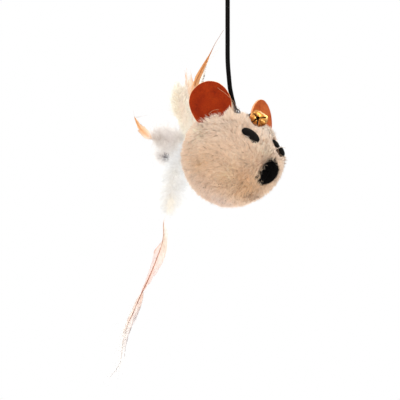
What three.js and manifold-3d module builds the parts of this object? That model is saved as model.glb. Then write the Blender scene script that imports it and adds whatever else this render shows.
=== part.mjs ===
// Hanging mouse toy for a cat: a stuffed plush ball made up as a mouse's head, with two leather-look ears,
// felt eyes, a fuzzy nose, a jingle bell and a bunch of feathers for a tail, hung from a round elastic cord.
// Millimetres, +Z up. The origin is where a hook bears inside the top of the hanging loop, and the cord
// hangs plumb down the Z axis. The face looks along -Y, nodding a little and leaning to the mouse's left.
import * as THREE from 'three';
import Module from 'manifold-3d';
import { mergeVertices } from 'three/addons/utils/BufferGeometryUtils.js';

// ---------------------------------------------------------------- driving dimensions
const GAP = 0.3;                 // clearance between touching pieces
const CORD_R = 1.1;              // 2.2 mm round elastic
const LOOP_W = 13;               // width of the hanging loop over its middle line
const KNOT_Z = -25.2;            // middle of the overhand knot
const KNOT_R = 2.9;
const CORD_SPLIT_Z = -45;        // the cord's upper and lower stretches meet here

const HEAD_CENTRE = new THREE.Vector3(1.62, -1.62, -113.9);
const HEAD_LEFT = new THREE.Vector3(0.95762, 0.07403, -0.27837);   // the mouse's own left
const HEAD_BACK = new THREE.Vector3(0, 0.96641, 0.25702);          // from the nose towards the tail
const HEAD_CROWN = new THREE.Vector3(0.28805, -0.24613, 0.92545);  // out through the crown
const PLUSH_R = 25.0;            // middle of the pile
const BACKING_R = 21.5;          // inside of the plush
const STUFFING_R = 21.2;
const MUZZLE = 3.2;              // how far the muzzle and cheeks stand proud of the ball

const FOOT = new THREE.Vector3(7.5, -1.3, -91.1);      // where the cord is tied to the crown, and the head tips about
const FOOT_DOWN = new THREE.Vector3(0.567, -0.303, -0.765);

const EAR_R = 11.1;
const EAR_T = 1.2;
const BELL_R = 4.75;
const BELL_WALL = 0.4;
const BELL_SLIT = 1.0;
const PELLET_R = 1.3;
const EYE_L = 10.4;
const EYE_W = 4.7;
const EYE_T = 2.2;
const NOSE_R = 6.4;

// ---------------------------------------------------------------- solids
const wasm = await Module();
wasm.setup();

function closed(geometry) {
  const g = geometry.clone();
  for (const name of Object.keys(g.attributes)) if (name !== 'position') g.deleteAttribute(name);
  return mergeVertices(g, 1e-4);
}
function solid(geometry) {
  const g = closed(geometry);
  return new wasm.Manifold(new wasm.Mesh({
    numProp: 3,
    vertProperties: Float32Array.from(g.attributes.position.array),
    triVerts: Uint32Array.from(g.index.array),
  }));
}
function geometryOf(manifold) {
  const m = manifold.getMesh();
  const g = new THREE.BufferGeometry();
  g.setAttribute('position', new THREE.BufferAttribute(Float32Array.from(m.vertProperties), 3));
  g.setIndex(new THREE.BufferAttribute(Uint32Array.from(m.triVerts), 1));
  return g;
}
const moved = (geometry, x, y, z) => geometry.clone().translate(x, y, z);

// ---------------------------------------------------------------- colours
const material = (color, roughness, metalness = 0) => new THREE.MeshStandardMaterial({ color, roughness, metalness });
const BLACK_ELASTIC = [0x161616, 0.55];
const DARK_THREAD = [0x3a3234, 0.6];
const CLEAR_THREAD = [0xd8d2cc, 0.35];
const PLUSH = [0xdcbb9b, 0.95];
const STUFFING = [0xf2efe8, 1.0];
const EAR = [0x9a3210, 0.62];
const FELT = [0x0c0b0b, 0.95];
const BRASS = [0xc8903a, 0.3, 1.0];
const STEEL = [0x9a9a98, 0.35, 1.0];

const toy = new THREE.Group();
const head = new THREE.Group();
head.applyMatrix4(new THREE.Matrix4().makeBasis(HEAD_LEFT, HEAD_BACK, HEAD_CROWN).setPosition(HEAD_CENTRE));
toy.add(head);

function add(parent, name, geometry, colour) {
  const mesh = new THREE.Mesh(closed(geometry), material(...colour));
  mesh.name = name;
  parent.add(mesh);
  return mesh;
}

// a round bar along a curve
function bar(points, radius, steps, sides = 8, curved = true) {
  const path = curved
    ? new THREE.CatmullRomCurve3(points.map((p) => new THREE.Vector3(...p)), false, 'centripetal')
    : new THREE.LineCurve3(new THREE.Vector3(...points[0]), new THREE.Vector3(...points[1]));
  const section = new THREE.Shape();
  for (let i = 0; i < sides; i++) {
    const a = (i / sides) * Math.PI * 2;
    if (i) section.lineTo(Math.cos(a) * radius, Math.sin(a) * radius);
    else section.moveTo(radius, 0);
  }
  return new THREE.ExtrudeGeometry(section, { steps, bevelEnabled: false, extrudePath: path });
}

// ---------------------------------------------------------------- hanging loop, knot and cord
{
  // one bight of the cord, from the knot up round the hook and back
  const w = LOOP_W / 2;
  const top = CORD_R;
  const points = [
    [-1.45, 0, KNOT_Z + KNOT_R + 0.35], [-2.6, 0, -19.4], [-4.9, 0, -14.2], [-w, 0, -8.2], [-w * 0.83, 0, -2.4],
    [-w * 0.42, 0, top - 0.75], [0, 0, top], [w * 0.42, 0, top - 0.75], [w * 0.83, 0, -2.4], [w, 0, -8.2],
    [4.9, 0, -14.2], [2.6, 0, -19.4], [1.45, 0, KNOT_Z + KNOT_R + 0.35],
  ];
  add(toy, 'hanging_loop', bar(points, CORD_R, 26), BLACK_ELASTIC);

  const knot = new THREE.SphereGeometry(KNOT_R, 14, 10);
  knot.rotateX(Math.PI / 2);
  add(toy, 'loop_knot', moved(knot, 0, 0, KNOT_Z), BLACK_ELASTIC);
  // the spare end of the cord below the knot
  add(toy, 'cord_tail_end', bar([[0.3, 2.75, KNOT_Z - 1.9], [0.45, 4.0, KNOT_Z - 3.4], [0.55, 5.0, KNOT_Z - 5.1]], CORD_R, 4), BLACK_ELASTIC);

  add(toy, 'elastic_cord_upper', bar([[0, 0, KNOT_Z - KNOT_R - GAP], [0, 0, CORD_SPLIT_Z]], CORD_R, 4, 8, false), BLACK_ELASTIC);
  add(toy, 'elastic_cord_lower', bar([
    [0, 0, CORD_SPLIT_Z - GAP], [0, 0, -51], [0, 0, -57], [0.05, 0, -63.7], [0.88, 0, -71.5], [1.84, 0.07, -77.8], [3.38, 0.1, -83],
    [4.45, 0, -86.1],
  ], CORD_R, 12), BLACK_ELASTIC);

  // dark thread whipped round the end of the cord
  add(toy, 'foot_whipping', bar([[4.62, -0.03, -86.5], [5.45, -0.2, -88.3]], 0.95, 2, 8, false), DARK_THREAD);
  // the little eye that the whipping makes, and the stitch through it that ties it down to the crown
  const down = FOOT_DOWN.clone().normalize();
  const facing = new THREE.Vector3(-0.7071, -0.7071, 0).addScaledVector(down, -new THREE.Vector3(-0.7071, -0.7071, 0).dot(down)).normalize();
  const across = new THREE.Vector3().crossVectors(facing, down).normalize();
  const eye = new THREE.TorusGeometry(1, 0.3, 8, 16);
  eye.scale(0.9, 1.5, 0.95);                           // longer than it is wide
  eye.applyMatrix4(new THREE.Matrix4().makeBasis(across, down.clone().negate(), facing));
  const eyeAt = FOOT.clone().addScaledVector(down, -1.5);
  add(toy, 'foot_eye', moved(eye, eyeAt.x, eyeAt.y, eyeAt.z), DARK_THREAD);
  const stitch = new THREE.TorusGeometry(1.0, 0.22, 8, 14);
  stitch.applyMatrix4(new THREE.Matrix4().makeBasis(facing, down.clone().negate(), across.clone().negate()));
  add(toy, 'foot_stitch', moved(stitch, FOOT.x, FOOT.y, FOOT.z), DARK_THREAD);
}

// ---------------------------------------------------------------- head: plush halves and stuffing
// radius of a layer of the head in one direction (x = the mouse's left, y = back, z = crown)
function swell(x, y, z) {
  const forward = Math.max(0, -y);
  const gate = Math.min(1, forward * 2.2);
  return MUZZLE * gate * gate * Math.exp(-((x / 0.85) ** 2 + ((z - 0.22) / 0.45) ** 2));
}
function headBall(radius, around, rows) {
  const g = new THREE.SphereGeometry(1, around, rows);
  g.rotateX(Math.PI / 2);
  const p = g.attributes.position;
  for (let i = 0; i < p.count; i++) {
    const v = new THREE.Vector3().fromBufferAttribute(p, i).normalize();
    v.multiplyScalar(radius + swell(v.x, v.y, v.z));
    p.setXYZ(i, v.x, v.y, v.z);
  }
  return g;
}
const BELL_AT = new THREE.Vector3(-1.7, -8.65, 23.92);
const BELL_FACE = new THREE.Vector3(-0.7295, -0.6834, -0.0296).normalize();   // the slit end looks this way
const BELL_OUT = BELL_AT.clone().normalize();
const BELL_SIDE = new THREE.Vector3().crossVectors(BELL_FACE, BELL_OUT).normalize();
const BELL_LOOP_AT = BELL_AT.clone().addScaledVector(BELL_FACE, -(BELL_R + GAP + 1.4));

const EYES = [
  { name: 'right_eye', at: new THREE.Vector3(-12.05, -17.71, 13.77), along: new THREE.Vector3(0.695, -0.672, -0.258) },
  { name: 'left_eye', at: new THREE.Vector3(10.91, -17.57, 13.78), along: new THREE.Vector3(0.76, -0.497, -0.467) },
];
function eyeSolid(eye, grow) {
  const out = eye.at.clone().normalize();
  const along = eye.along.clone().normalize();
  const across = new THREE.Vector3().crossVectors(out, along).normalize();
  const inward = new THREE.Vector3().crossVectors(across, along).normalize();
  const r = EYE_W / 2 + grow;
  const g = new THREE.CapsuleGeometry(r, EYE_L - EYE_W, 3, 10);
  g.scale(1, 1, (EYE_T / 2 + grow) / r);
  g.applyMatrix4(new THREE.Matrix4().makeBasis(across, along, inward));
  return moved(g, eye.at.x, eye.at.y, eye.at.z);
}

const crownHole = new THREE.CylinderGeometry(1.6, 1.6, 12, 16);
crownHole.rotateX(Math.PI / 2);
const tailHole = new THREE.CylinderGeometry(3.6, 3.6, 30, 20);
const noseHole = new THREE.CylinderGeometry(NOSE_R + GAP, NOSE_R + GAP, 30, 24);
const noseBed = solid(moved(noseHole, 0, -30, 0)).subtract(solid(new THREE.SphereGeometry(26.0, 28, 20)));
const tools = [
  moved(new THREE.SphereGeometry(BELL_R + GAP, 18, 12), BELL_AT.x, BELL_AT.y, BELL_AT.z),
  moved(new THREE.SphereGeometry(3.1, 12, 8), BELL_LOOP_AT.x, BELL_LOOP_AT.y, BELL_LOOP_AT.z),
  moved(crownHole, -0.2, 5.8, 23),
].map(solid);
let pockets = tools[0].add(tools[1]).add(tools[2]);
// the pile is parted in a shallow dip round the foot of the cord
const footLocal = FOOT.clone().sub(HEAD_CENTRE);
const footAt = new THREE.Vector3(footLocal.dot(HEAD_LEFT), footLocal.dot(HEAD_BACK), footLocal.dot(HEAD_CROWN));
const dip = new THREE.SphereGeometry(6.2, 20, 12);
dip.scale(1, 0.45, 1);
dip.applyQuaternion(new THREE.Quaternion().setFromUnitVectors(new THREE.Vector3(0, 1, 0), footAt.clone().normalize()));
const dipAt = footAt.clone().setLength(footAt.length() + 0.9);
const parting = solid(moved(dip, dipAt.x, dipAt.y, dipAt.z));
const tailBore = solid(moved(tailHole, 0, 26 + 5, 0));
// each eye sits in a socket that is open outwards
const eyeBeds = EYES.map((e) => {
  const out = e.at.clone().normalize();
  let bed = solid(eyeSolid(e, GAP));
  for (const lift of [1.6]) bed = bed.add(solid(moved(eyeSolid(e, GAP), out.x * lift, out.y * lift, out.z * lift)));
  return bed;
});

const outer = solid(headBall(PLUSH_R, 30, 19));
let shell = outer.subtract(solid(headBall(BACKING_R, 22, 14)));
shell = shell.subtract(pockets).subtract(parting).subtract(tailBore).subtract(noseBed);
for (const bed of eyeBeds) shell = shell.subtract(bed);
for (const [name, side] of [['plush_right_half', -1], ['plush_left_half', 1]]) {
  const keep = solid(moved(new THREE.BoxGeometry(60, 80, 80), side * (30 + GAP / 2), 0, 0));
  add(head, name, geometryOf(shell.intersect(keep)), PLUSH);
}
let stuffing = solid(headBall(STUFFING_R - 0.15, 22, 14)).subtract(pockets).subtract(tailBore);
for (const e of EYES) stuffing = stuffing.subtract(solid(eyeSolid(e, GAP)));
add(head, 'stuffing', geometryOf(stuffing), STUFFING);

// ---------------------------------------------------------------- face
for (const e of EYES) {
  add(head, e.name, eyeSolid(e, 0), FELT);
  // clear thread over the middle of the felt
  const out = e.at.clone().normalize();
  const along = e.along.clone().normalize();
  const across = new THREE.Vector3().crossVectors(out, along).normalize();
  const normal = new THREE.Vector3().crossVectors(along, across).normalize();
  const arch = [[-3.6, 1.15], [-2.2, 1.75], [0, 1.9], [2.2, 1.75], [3.6, 1.15]].map(([s, h]) => {
    const p = e.at.clone().addScaledVector(across, s).addScaledVector(normal, h);
    const floor = 26.9;
    if (Math.abs(s) > 3 && p.length() < floor) p.setLength(floor);
    return p.toArray();
  });
  add(head, `${e.name}_stitch`, bar(arch, 0.2, 8, 6), CLEAR_THREAD);
}
{
  // a round patch of fuzzy black pile, curved to the muzzle
  const patch = new THREE.CylinderGeometry(NOSE_R, NOSE_R, 12, 24);
  const cap = new THREE.SphereGeometry(28.4, 36, 28);
  const nose = solid(moved(patch, 0, -30, 0)).intersect(solid(cap)).subtract(solid(new THREE.SphereGeometry(26.0 + GAP, 28, 20)));
  add(head, 'nose', geometryOf(nose), FELT);
}

// ---------------------------------------------------------------- ears
const earClear = solid(headBall(PLUSH_R + 0.9, 30, 19));
for (const [name, at, face] of [
  ['right_ear', [-24.05, 6.46, 21.87], [-0.7295, -0.6834, -0.0296]],
  ['left_ear', [21.3, 10.45, 24.29], [0.1775, -0.9113, 0.3716]],
]) {
  const disc = new THREE.CylinderGeometry(EAR_R, EAR_R, EAR_T, 44);
  disc.applyQuaternion(new THREE.Quaternion().setFromUnitVectors(new THREE.Vector3(0, 1, 0), new THREE.Vector3(...face).normalize()));
  add(head, name, geometryOf(solid(moved(disc, ...at)).subtract(earClear)), EAR);
}
// a stray length of clear sewing thread, from the right ear over the cord to the crown
add(head, 'ear_thread', bar([[-24.6, 4.5, 30.0], [-21.8, 1.4, 29.0], [-18.5, -1.7, 27.2], [-14.0, -0.6, 25.9], [-9.4, 1.2, 25.1], [-6.4, 2.2, 25.1]], 0.15, 12, 6), CLEAR_THREAD);
// the knot of the crown stitch, under the plush
add(head, 'anchor_knot', moved(new THREE.SphereGeometry(1.0, 10, 8), -0.2, 5.8, 20.3), DARK_THREAD);

// ---------------------------------------------------------------- jingle bell
{
  const slit = (grow) => {
    const g = new THREE.BoxGeometry(BELL_SLIT, 14, 6);
    return grow ? g.rotateZ(Math.PI / 2) : g;
  };
  let bell = solid(new THREE.SphereGeometry(BELL_R, 28, 18)).subtract(solid(new THREE.SphereGeometry(BELL_R - BELL_WALL, 24, 16)));
  const mouth = new THREE.CylinderGeometry(1.15, 1.15, 8, 12);
  mouth.rotateX(Math.PI / 2);
  bell = bell.subtract(solid(moved(slit(false), 0, 0, 3.9))).subtract(solid(moved(slit(true), 0, 0, 3.9))).subtract(solid(moved(mouth, 0, 0, 4)));
  const turn = new THREE.Matrix4().makeBasis(BELL_SIDE, BELL_OUT.clone(), BELL_FACE);
  const up = new THREE.Vector3().crossVectors(BELL_FACE, BELL_SIDE).normalize();
  turn.makeBasis(BELL_SIDE, up, BELL_FACE);
  const shellGeometry = geometryOf(bell);
  shellGeometry.applyMatrix4(turn);
  add(head, 'bell_shell', moved(shellGeometry, BELL_AT.x, BELL_AT.y, BELL_AT.z), BRASS);

  // wire loop on the bell's crown, and the thread ring through it
  const loop = new THREE.TorusGeometry(1.1, 0.28, 8, 16);
  loop.rotateY(Math.PI / 2);                           // the ring lies in the plane of the face and out directions
  loop.applyMatrix4(turn);
  add(head, 'bell_loop', moved(loop, BELL_LOOP_AT.x, BELL_LOOP_AT.y, BELL_LOOP_AT.z), BRASS);
  const tie = new THREE.TorusGeometry(1.2, 0.2, 8, 16);
  tie.applyMatrix4(turn);
  const tieAt = BELL_LOOP_AT.clone().addScaledVector(up, -1.2);
  add(head, 'bell_thread', moved(tie, tieAt.x, tieAt.y, tieAt.z), DARK_THREAD);

  // loose pellet at the bottom of the bell
  const down = new THREE.Vector3(0.27838, -0.25702, -0.92545);
  const at = BELL_AT.clone().addScaledVector(down, BELL_R - BELL_WALL - PELLET_R - 0.2);
  add(head, 'bell_pellet', moved(new THREE.SphereGeometry(PELLET_R, 12, 8), at.x, at.y, at.z), STEEL);
}

// ---------------------------------------------------------------- feathers
// thread-bound quill ends glued into the back of the head
{
  const plug = new THREE.CylinderGeometry(3.2, 3.2, 10.6, 20);
  add(head, 'feather_plug', moved(plug, 0, 21.8, 0), [0xb9a58c, 0.8]);
}
const VIEW_SIDE = new THREE.Vector3(-0.7295, -0.6834, -0.0296).normalize();   // the feathers lie about square to this
function alongCurve(points) {
  const curve = new THREE.CatmullRomCurve3(points.map((p) => new THREE.Vector3(...p)), false, 'centripetal');
  return (t) => {
    const at = curve.getPoint(t);
    const tangent = curve.getTangent(t);
    const wide = new THREE.Vector3().crossVectors(tangent, VIEW_SIDE).normalize();
    const thick = new THREE.Vector3().crossVectors(wide, tangent).normalize();
    return { at, wide, thick };
  };
}
// a quill with its vane: a thin lens-shaped blade whose width follows the list of half widths
function blade(points, halfWidths, thickness, steps) {
  const frame = alongCurve(points);
  const g = new THREE.BoxGeometry(1, 1, 1, 2, 1, steps);
  const p = g.attributes.position;
  for (let i = 0; i < p.count; i++) {
    const t = p.getZ(i) + 0.5;
    const { at, wide, thick } = frame(t);
    const k = t * (halfWidths.length - 1);
    const a = Math.min(Math.floor(k), halfWidths.length - 2);
    const w = halfWidths[a] + (halfWidths[a + 1] - halfWidths[a]) * (k - a);
    const x = p.getX(i) * 2;
    const edge = 1 - 0.62 * Math.abs(x);
    at.addScaledVector(wide, x * w).addScaledVector(thick, -p.getY(i) * thickness * edge);
    p.setXYZ(i, at.x, at.y, at.z);
  }
  return g;
}
// a soft plume of down: a tapered puff along its quill
function plume(points, halfWidth, halfThick) {
  const frame = alongCurve(points);
  const g = new THREE.SphereGeometry(1, 12, 10);
  const p = g.attributes.position;
  for (let i = 0; i < p.count; i++) {
    const t = Math.min(1, Math.max(0, (p.getY(i) + 1) / 2));
    const { at, wide, thick } = frame(t);
    const stem = Math.min(1, 0.2 + 2.2 * t);           // bare quill towards the base
    at.addScaledVector(wide, p.getX(i) * halfWidth * stem).addScaledVector(thick, p.getZ(i) * halfThick * stem);
    p.setXYZ(i, at.x, at.y, at.z);
  }
  return g;
}
add(head, 'up_feather', blade(
  [[0.3, 28.0, 2.0], [0.4, 30.6, 4.6], [-1.1, 35.7, 12.0], [-3.7, 38.8, 22.7], [-5.4, 39.4, 31.0], [-5.9, 38.0, 39.6], [-6.3, 36.6, 47.2], [-6.5, 35.9, 52.4], [-6.1, 34.3, 60.8]],
  [0.5, 0.6, 1.8, 2.6, 2.8, 2.3, 1.5, 0.8, 0.5, 0.3], 1.1, 16), [0xd6935a, 0.7]);
add(head, 'cream_plume', plume([[-1.7, 28.0, 0.9], [-2.4, 33.4, 2.6], [-4.0, 40.6, 9.2], [-6.9, 43.9, 16.2], [-9.2, 45.2, 25.1]], 3.4, 1.5), [0xf3e4c8, 0.9]);
add(head, 'pink_plume', blade([[2.1, 28.0, 1.2], [2.8, 33.9, 5.9], [0.8, 41.2, 15.9], [-2.3, 45.9, 26.2], [-5.7, 49.1, 35.5]], [0.5, 0.6, 1.4, 1.6, 1.2, 0.4], 1.0, 10), [0xe9c9b4, 0.85]);
add(head, 'side_feather', blade(
  [[0.4, 28.0, -0.3], [0.2, 34.3, -0.5], [-1.7, 41.5, -1.9], [-5.0, 47.3, -4.0], [-8.4, 51.8, -5.4], [-12.9, 56.5, -3.0], [-17.1, 60.1, 1.5]],
  [0.5, 0.5, 1.0, 1.6, 2.2, 2.0, 0.4], 1.1, 12), [0xdf9a62, 0.75]);
add(head, 'grey_plume', plume([[2.2, 28.0, -1.0], [3.2, 33.0, -4.4], [3.0, 40.4, -9.4], [-0.4, 46.6, -12.6], [-5.2, 51.6, -13.8]], 3.6, 1.5), [0xd3d2d0, 0.9]);
add(head, 'white_plume', plume([[-0.9, 28.2, -1.9], [-0.8, 29.8, -3.4], [-0.6, 31.6, -7.8], [-0.2, 35.2, -17.0], [0.6, 36.4, -26.6], [2.0, 35.6, -38.8]], 4.6, 1.6), [0xf4f2ee, 0.9]);
add(head, 'tail_feather', blade(
  [[1.2, 28.0, -2.4], [3.2, 32.6, -8.2], [7.2, 36.9, -21.6], [9.4, 37.3, -34.5], [10.8, 35.9, -43.6], [12.2, 34.1, -53.6], [11.9, 33.7, -61.9], [11.7, 33.4, -71.3], [11.2, 33.4, -79.8],
    [10.7, 33.4, -85.9], [10.4, 33.3, -94.6], [10.0, 33.3, -100.9], [10.3, 32.5, -107.9], [11.3, 31.0, -115.1], [12.3, 30.1, -121.0], [11.1, 31.9, -130.0]],
  [0.5, 0.6, 1.2, 2.0, 2.8, 2.9, 2.4, 1.6, 1.2, 1.0, 0.9, 0.7, 0.5, 0.35], 1.1, 26), [0xead5c6, 0.75]);

export default toy;
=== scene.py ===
# Hanging mouse cat toy: the looks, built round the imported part. Metres, in the part's own frame.
import math
import bpy
import bmesh
import numpy as np
from mathutils import Matrix, Vector
from mathutils.kdtree import KDTree


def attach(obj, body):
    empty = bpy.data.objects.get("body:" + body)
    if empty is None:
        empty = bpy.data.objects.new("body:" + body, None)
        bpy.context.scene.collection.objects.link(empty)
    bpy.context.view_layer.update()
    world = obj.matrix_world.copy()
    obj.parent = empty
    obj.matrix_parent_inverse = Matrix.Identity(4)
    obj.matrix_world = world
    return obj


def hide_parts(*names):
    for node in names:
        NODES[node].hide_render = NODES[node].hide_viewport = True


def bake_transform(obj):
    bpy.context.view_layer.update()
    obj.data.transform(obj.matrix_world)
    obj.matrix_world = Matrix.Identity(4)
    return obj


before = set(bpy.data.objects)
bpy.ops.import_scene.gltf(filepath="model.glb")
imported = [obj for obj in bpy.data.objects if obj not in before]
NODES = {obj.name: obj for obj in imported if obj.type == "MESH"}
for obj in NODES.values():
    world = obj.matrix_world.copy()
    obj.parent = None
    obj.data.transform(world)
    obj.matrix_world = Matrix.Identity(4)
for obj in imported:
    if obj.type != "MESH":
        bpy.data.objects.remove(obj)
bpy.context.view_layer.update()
MM = 0.001

# ---------------------------------------------------------------- camera
AZ = math.radians(-45.0)
CAM_BACK = np.array([math.sin(AZ), -math.cos(AZ), 0.0])
CAM_RIGHT = np.array([math.cos(AZ), math.sin(AZ), 0.0])
CAM_DISTANCE = 4.0
AIM = np.array([-0.01015, 0.01015, -0.136])
camera_data = bpy.data.cameras.new("camera")
camera_data.sensor_width = 36.0
camera_data.lens = 36.0 * CAM_DISTANCE / 0.208
camera_data.clip_start = 0.05
camera_data.clip_end = 60.0
camera = bpy.data.objects.new("camera", camera_data)
camera.location = Vector(AIM + CAM_BACK * CAM_DISTANCE)
camera.rotation_euler = (Vector(-CAM_BACK)).to_track_quat("-Z", "Y").to_euler()
bpy.context.collection.objects.link(camera)
bpy.context.scene.camera = camera

# ---------------------------------------------------------------- the head's own frame (x = the mouse's left, y = back, z = crown)
HEAD_AT = np.array([1.62, -1.62, -113.9])
HEAD_AXES = np.array([[0.95762, 0.07403, -0.27837], [0.0, 0.96641, 0.25702], [0.28805, -0.24613, 0.92545]])
VIEW = np.array([-0.7295, -0.6834, -0.0296])          # towards the camera
VIEW_RIGHT = np.array([0.6248, -0.6834, 0.3777])
WORLD_UP = np.array([-0.2784, 0.257, 0.9254])


def H(p):
    """Head-frame millimetres to row metres."""
    return (HEAD_AT + np.asarray(p, float) @ HEAD_AXES) * MM


def HD(d):
    """Head-frame direction to row direction."""
    return np.asarray(d, float) @ HEAD_AXES


def unit(v):
    v = np.asarray(v, float)
    return v / np.maximum(np.linalg.norm(v, axis=-1, keepdims=True), 1e-12)


# ---------------------------------------------------------------- meshes
def mesh_object(name, verts, faces, smooth=True, normals=None, tone=None):
    """verts (n, 3) in metres; faces is a list of index arrays, one per number of corners; tone is one colour per vertex."""
    me = bpy.data.meshes.new(name)
    verts = np.asarray(verts, np.float32)
    faces = [np.asarray(f, np.int32) for f in faces if len(f)]
    me.vertices.add(len(verts))
    me.vertices.foreach_set("co", verts.ravel())
    loops = np.concatenate([f.ravel() for f in faces])
    counts = np.concatenate([np.full(len(f), f.shape[1]) for f in faces])
    starts = np.concatenate([[0], np.cumsum(counts)[:-1]]).astype(np.int32)
    me.loops.add(len(loops))
    me.loops.foreach_set("vertex_index", loops)
    me.polygons.add(len(counts))
    me.polygons.foreach_set("loop_start", starts)
    me.polygons.foreach_set("use_smooth", np.full(len(counts), smooth))
    me.update(calc_edges=True)
    if normals is not None:
        a = me.attributes.new("custom_normal", "FLOAT_VECTOR", "POINT")
        a.data.foreach_set("vector", np.asarray(normals, np.float32).ravel())
    if tone is not None:
        t = np.ones((len(verts), 4), np.float32)
        t[:, :3] = tone
        c = me.color_attributes.new(name="tone", type="FLOAT_COLOR", domain="POINT")
        c.data.foreach_set("color", t.ravel())
    o = bpy.data.objects.new(name, me)
    bpy.context.collection.objects.link(o)
    return o


def catmull(points, n):
    """n points evenly along a centripetal Catmull-Rom curve."""
    p = np.asarray(points, float)
    p = np.vstack([2 * p[0] - p[1], p, 2 * p[-1] - p[-2]])
    dense = []
    for i in range(len(p) - 3):
        p0, p1, p2, p3 = p[i:i + 4]
        t0 = 0.0
        t1 = t0 + max(np.linalg.norm(p1 - p0), 1e-9) ** 0.5
        t2 = t1 + max(np.linalg.norm(p2 - p1), 1e-9) ** 0.5
        t3 = t2 + max(np.linalg.norm(p3 - p2), 1e-9) ** 0.5
        t = np.linspace(t1, t2, 40, endpoint=False)[:, None]
        a1 = (t1 - t) / (t1 - t0) * p0 + (t - t0) / (t1 - t0) * p1
        a2 = (t2 - t) / (t2 - t1) * p1 + (t - t1) / (t2 - t1) * p2
        a3 = (t3 - t) / (t3 - t2) * p2 + (t - t2) / (t3 - t2) * p3
        b1 = (t2 - t) / (t2 - t0) * a1 + (t - t0) / (t2 - t0) * a2
        b2 = (t3 - t) / (t3 - t1) * a2 + (t - t1) / (t3 - t1) * a3
        dense.append((t2 - t) / (t2 - t1) * b1 + (t - t1) / (t2 - t1) * b2)
    dense = np.vstack(dense + [p[-2][None]])
    d = np.concatenate([[0], np.cumsum(np.linalg.norm(np.diff(dense, axis=0), axis=1))])
    s = np.linspace(0, d[-1], n)
    return np.stack([np.interp(s, d, dense[:, k]) for k in range(3)], 1)


def frames_along(p):
    """Tangent and two steady side vectors at each point of a line."""
    t = unit(np.gradient(p, axis=0))
    side = np.zeros_like(t)
    ref = np.array([0.0, 0.0, 1.0]) if abs(t[0, 2]) < 0.9 else np.array([1.0, 0.0, 0.0])
    side[0] = unit(np.cross(ref, t[0]))
    for i in range(1, len(p)):
        side[i] = unit(side[i - 1] - t[i] * (side[i - 1] @ t[i]))
    return t, side, np.cross(t, side)


def tube(name, points, radius, sides=10, steps=None, shape=None, closed=False, tone=None, round_ends=True):
    """A round bar along points (row metres). radius is a number or one per step; shape(u, v) adds a share of the radius."""
    p = np.asarray(points, float) if steps is None else catmull(points, steps)
    n = len(p)
    if closed:
        t = unit(np.roll(p, -1, 0) - np.roll(p, 1, 0))
        side = np.zeros_like(t)
        side[0] = unit(np.cross(t[0], [0.3, 0.5, 0.8]))
        for i in range(1, n):
            side[i] = unit(side[i - 1] - t[i] * (side[i - 1] @ t[i]))
        # spread the leftover twist
        end = unit(side[-1] - t[0] * (side[-1] @ t[0]))
        twist = math.atan2(np.dot(np.cross(end, side[0]), t[0]), np.dot(end, side[0]))
        up = np.cross(t, side)
        a = (np.arange(n) / n * twist)[:, None]
        side, up = side * np.cos(a) + up * np.sin(a), -side * np.sin(a) + up * np.cos(a)
    else:
        t, side, up = frames_along(p)
    r = np.broadcast_to(np.asarray(radius, float), (n,))
    a = np.arange(sides) / sides * 2 * math.pi
    rr = r[:, None] * np.ones((1, sides))
    if shape is not None:
        length = np.concatenate([[0], np.cumsum(np.linalg.norm(np.diff(p, axis=0), axis=1))])
        rr = rr * (1 + shape(length[:, None], a[None, :]))
    ring = p[:, None] + rr[..., None] * (np.cos(a)[None, :, None] * side[:, None] + np.sin(a)[None, :, None] * up[:, None])
    verts = ring.reshape(-1, 3)
    i, j = np.meshgrid(np.arange(n if closed else n - 1), np.arange(sides), indexing="ij")
    k, l = (i + 1) % n, (j + 1) % sides
    quads = np.stack([i * sides + j, i * sides + l, k * sides + l, k * sides + j], -1).reshape(-1, 4)
    tris = []
    if not closed:
        rings = [verts]
        count = len(verts)
        for end, sign in ((0, -1), (n - 1, 1)):
            base = end * sides + np.arange(sides)
            last = base
            if round_ends:
                for lift, share in ((0.45, 0.87), (0.8, 0.5)):
                    new = p[end] + sign * t[end] * r[end] * lift + (ring[end] - p[end]) * share
                    idx = count + np.arange(sides)
                    count += sides
                    rings.append(new)
                    m = np.roll(np.arange(sides), -1)
                    q = np.stack([last, last[m], idx[m], idx], -1)
                    quads = np.vstack([quads, q if sign > 0 else q[:, ::-1]])
                    last = idx
            tip = p[end] + sign * t[end] * r[end] * (0.95 if round_ends else 0.0)
            rings.append(tip[None])
            m = np.roll(last, -1)
            tr = np.stack([last, m, np.full(sides, count)], -1)
            tris.append(tr if sign > 0 else tr[:, ::-1])
            count += 1
        verts = np.vstack(rings)
    faces = [quads] + ([np.vstack(tris)] if tris else [])
    o = mesh_object(name, verts, faces, tone=None if tone is None else np.broadcast_to(tone, (len(verts), 3)))
    o["path_len"] = float(np.linalg.norm(np.diff(p, axis=0), axis=1).sum())
    return o


def joined(name, objects):
    """One object of several meshes."""
    bpy.ops.object.select_all(action="DESELECT")
    for o in objects:
        o.select_set(True)
    bpy.context.view_layer.objects.active = objects[0]
    bpy.ops.object.join()
    o = objects[0]
    o.name = name
    o.data.name = name
    return o


def finish_piece(o, body, material, replaces=()):
    if material is not None:
        o.data.materials.clear()
        for m in (material if isinstance(material, (list, tuple)) else [material]):
            o.data.materials.append(m)
    if body is not None:
        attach(o, body)
    if replaces:
        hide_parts(*replaces)
    return o


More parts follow.
